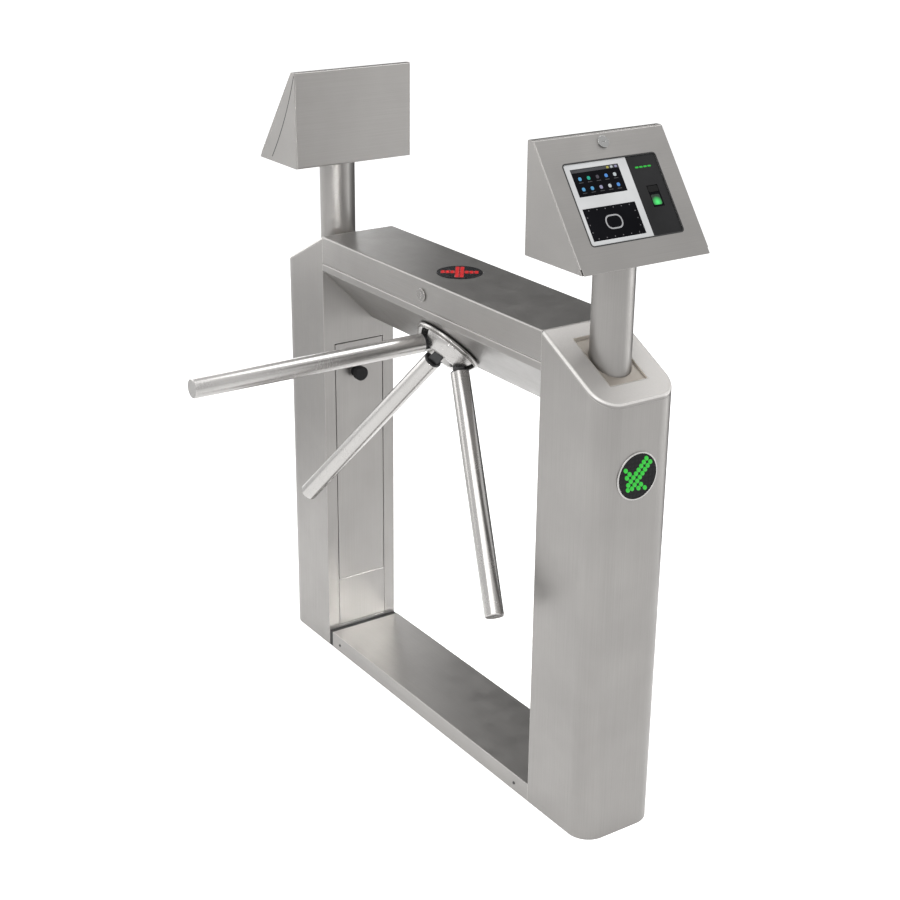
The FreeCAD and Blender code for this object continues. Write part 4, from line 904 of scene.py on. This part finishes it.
def makeHubSeal(spec):
    shape = bmesh.new()
    made = bmesh.ops.create_circle(shape, cap_ends=True, segments=spec["segments"], radius=spec["outer"],
                                   matrix=rotorFront)
    inside = [made["verts"][0].link_faces[0]]
    thickenRim(shape, inside, spec["wall"], outward(rotorFront) * spec["height"])
    finishPiece("hub_seal", shape, "cabinet", finishes["seal_rubber"])


def makeFrameNuts(spec):
    shape = bmesh.new()
    seat = rotorBack @ Matrix.Translation((0, 0, spec["lift"]))
    for across in spec["across"]:
        for up in spec["up"]:
            addNut(shape, seat, across, up, spec)
    finishPiece("frame_nuts", shape, "cabinet", finishes["galvanised"])


def makeMotorScrews(spec):
    shape = bmesh.new()
    seat = rotorBack @ Matrix.Translation((spec["centre"], 0, spec["lift"]))
    for turn in spec["turns"]:
        across = spec["circle"] * math.cos(math.radians(turn))
        up = spec["circle"] * math.sin(math.radians(turn))
        addScrew(shape, seat, across, up, spec["radius"], spec["height"])
    finishPiece("motor_screws", shape, "cabinet", finishes["machined_steel"])


def makePlinthScrews(spec):
    shape = bmesh.new()
    for sign in (-1, 1):
        wall = facing((0, sign * spec["wall"], spec["z"]), (-sign, 0, 0), (0, 0, 1))
        for across in (-spec["across"], spec["across"]):
            addScrew(shape, wall, across, 0, spec["radius"], spec["height"])
    finishPiece("plinth_screws", shape, "cabinet", finishes["black_steel"])


def makeElectricsScrews(board, supply, strip):
    shape = bmesh.new()
    for place, spec in ((board, boardScrews), (supply, supplyScrews)):
        for across in (-spec["across"], spec["across"]):
            for z in spec["z"]:
                addScrew(shape, place, across, z, spec["radius"], spec["height"])
    for k in range(stripScrews["count"]):
        z = stripScrews["firstZ"] + k * stripScrews["pitch"]
        addScrew(shape, strip, stripScrews["across"], z, stripScrews["radius"], stripScrews["height"])
    finishPiece("electrics_screws", shape, "cabinet", finishes["machined_steel"])


def makeBoardCans(board, spec):
    shape = bmesh.new()
    radius, height = spec["radius"], spec["height"]
    for across, z in spec["spots"]:
        top = addDisc(shape, board, across, z, radius, spec["shank"] * height, spec["sides"])
        bmesh.ops.inset_region(shape, faces=top, thickness=spec["rim"] * radius, depth=spec["crown"] * height)
        bmesh.ops.inset_region(shape, faces=top, thickness=spec["crimp"] * radius, depth=-spec["crimpDepth"])
    finishPiece("board_capacitors", shape, "cabinet", finishes["motor_case"])


boardFace = facing((boardScrews["x"], 0, 0), (0, 1, 0), (0, 0, 1))
supplyFace = facing((supplyScrews["x"], 0, 0), (0, -1, 0), (0, 0, 1))
stripFace = facing((stripScrews["x"], 0, 0), (0, 1, 0), (0, 0, 1))
makeHubSeal(hubSeal)
makeFrameNuts(frameNuts)
makeMotorScrews(motorScrews)
makePlinthScrews(plinthScrews)
makeElectricsScrews(boardFace, supplyFace, stripFace)
makeBoardCans(boardFace, boardCans)
print("seal, nuts and screws made")

# floor, light and background
studio = {
    "floorSize": 60,
    "floorColour": (0.86, 0.86, 0.86),
    "white": (1, 1, 1, 1),
    "ambient": 0.55,
    "backdrop": 1.0,
    "floorGlow": 0.62,
    "cardRough": 0.9,
}


def seenDirectly(tree):
    rays = addNode(tree, "ShaderNodeLightPath")
    shown = rays.outputs["Is Camera Ray"]
    for name in ("Is Glossy Ray", "Is Transmission Ray"):
        shown = reckon(tree, "MAXIMUM", shown, rays.outputs[name])
    return shown


def makeFloor():
    shape = bmesh.new()
    bmesh.ops.create_grid(shape, x_segments=1, y_segments=1, size=studio["floorSize"] / 2)
    mesh = meshFrom("studioFloor", shape)
    floor = addObject("studioFloor", mesh)
    material = bpy.data.materials.new("paleFloor")
    material.use_nodes = True
    tree = material.node_tree
    tree.nodes.clear()
    matt = addNode(tree, "ShaderNodeBsdfDiffuse", {"Color": (*studio["floorColour"], 1)})
    lit = addNode(tree, "ShaderNodeEmission", {"Color": studio["white"], "Strength": studio["floorGlow"]})
    both = addNode(tree, "ShaderNodeAddShader", {0: matt.outputs[0], 1: lit.outputs[0]})
    inputs = {0: seenDirectly(tree), 1: matt.outputs[0], 2: both.outputs[0]}
    mixed = addNode(tree, "ShaderNodeMixShader", inputs)
    addNode(tree, "ShaderNodeOutputMaterial", {"Surface": mixed.outputs[0]})
    mesh.materials.append(material)


def makeWorld():
    world = bpy.data.worlds.new("studioWorld")
    bpy.context.scene.world = world
    world.use_nodes = True
    tree = world.node_tree
    tree.nodes.clear()
    shown = addNode(tree, "ShaderNodeBackground", {"Color": studio["white"], "Strength": studio["backdrop"]})
    ambient = addNode(tree, "ShaderNodeBackground", {"Color": studio["white"], "Strength": studio["ambient"]})
    inputs = {0: seenDirectly(tree), 1: ambient.outputs[0], 2: shown.outputs[0]}
    mixed = addNode(tree, "ShaderNodeMixShader", inputs)
    addNode(tree, "ShaderNodeOutputWorld", {"Surface": mixed.outputs[0]})


# softboxes, in watts; the two small ones have a narrow spread in degrees
openSpread = 180
softLamps = {
    "topSoftbox": {"place": (0.08, 1.4, 3.0), "aim": (0.2, 0, 0.9), "size": (1.1, 1.6), "power": 26},
    "keySoftbox": {"place": (-3.4, -2.0, 2.6), "aim": (0, 0, 0.8), "size": (3.7, 3.7), "power": 82},
    "rimSoftbox": {"place": (-2.9, 1.0, 1.9), "aim": (-0.3, 0, 0.7), "size": (0.9, 2.0), "power": 13},
    "frontSoftbox": {"place": (1.1, -1.2, 3.0), "aim": (0.1, -0.2, 0.6), "size": (2.5, 2.5), "power": 34},
    "readerSoftbox": {"place": (1.5, -2.4, 2.9), "aim": (0.45, 0, 1.2), "size": (1.7, 1.7), "power": 14},
    "sideSoftbox": {"place": (1.5, 2.5, 0.5), "aim": (-0.4, 0, 0.9), "size": (1.3, 0.9), "power": 8},
    "cornerSoftbox": {"place": (1.45, 1.12, 1.12), "aim": (-0.37, 0, 0.06), "size": (0.35, 0.35),
                      "power": 0.8, "spread": 18},
    "poleSoftbox": {"place": (2.3, -2.1, 1.2), "aim": (-0.47, 0, 1.05), "size": (0.3, 0.3), "power": 0.23,
                    "spread": 12},
}


def makeLamps():
    for name, spec in softLamps.items():
        data = bpy.data.lights.new(name, "AREA")
        data.shape = "RECTANGLE"
        data.size, data.size_y = spec["size"]
        data.energy = spec["power"]
        data.spread = math.radians(spec.get("spread", openSpread))
        lamp = addObject(name, data)
        lamp.location = spec["place"]
        toward = Vector(spec["aim"]) - Vector(spec["place"])
        lamp.rotation_euler = toward.to_track_quat("-Z", "Y").to_euler()


# flags seen only in reflections: dark ones behind the object, a pale one beyond the far post
studioCards = {
    "backCard": {"place": (-1.25, 1.05, 1.75), "facing": (0.777, -0.629), "width": 1.5, "height": 2.9,
                 "shift": 0.5, "tone": (0.09, 0.09, 0.09)},
    "highCard": {"place": (-1.25, 1.05, 1.825), "facing": (0.777, -0.629), "width": 0.5, "height": 0.75,
                 "shift": -0.5, "tone": (0.05, 0.05, 0.05)},
    "frontCard": {"place": (-1.3, -0.85, 0.32), "facing": (1, 0), "width": 1.3, "height": 0.62, "shift": 0,
                  "tone": (0.9, 0.9, 0.9)},
    "lowCard": {"place": (-0.22, 1.2, 0.45), "facing": (0, -1), "width": 1.35, "height": 0.9, "shift": 0,
                "tone": (0.05, 0.05, 0.05)},
}


def makeCard(name, spec):
    ahead = Vector((*spec["facing"], 0)).normalized()
    side = Vector((0, 0, 1)).cross(ahead)
    turn = Matrix((side, Vector((0, 0, 1)), ahead)).transposed().to_4x4()
    place = Matrix.Translation(Vector(spec["place"]) + side * spec["shift"]) @ turn
    shape = bmesh.new()
    bmesh.ops.create_grid(shape, x_segments=1, y_segments=1, size=0.5,
                          matrix=place @ Matrix.Diagonal((spec["width"], spec["height"], 1, 1)))
    mesh = meshFrom(name, shape)
    card = addObject(name, mesh)
    material, tree, shader = startMaterial(name + "Cloth")
    fillInputs(tree, shader, {"Base Color": (*spec["tone"], 1), "Roughness": studio["cardRough"]})
    mesh.materials.append(material)
    card.visible_camera = False
    card.visible_diffuse = False
    card.visible_shadow = False
    card.visible_transmission = False


for name, spec in studioCards.items():
    makeCard(name, spec)
makeFloor()
makeWorld()
makeLamps()
print("studio set")
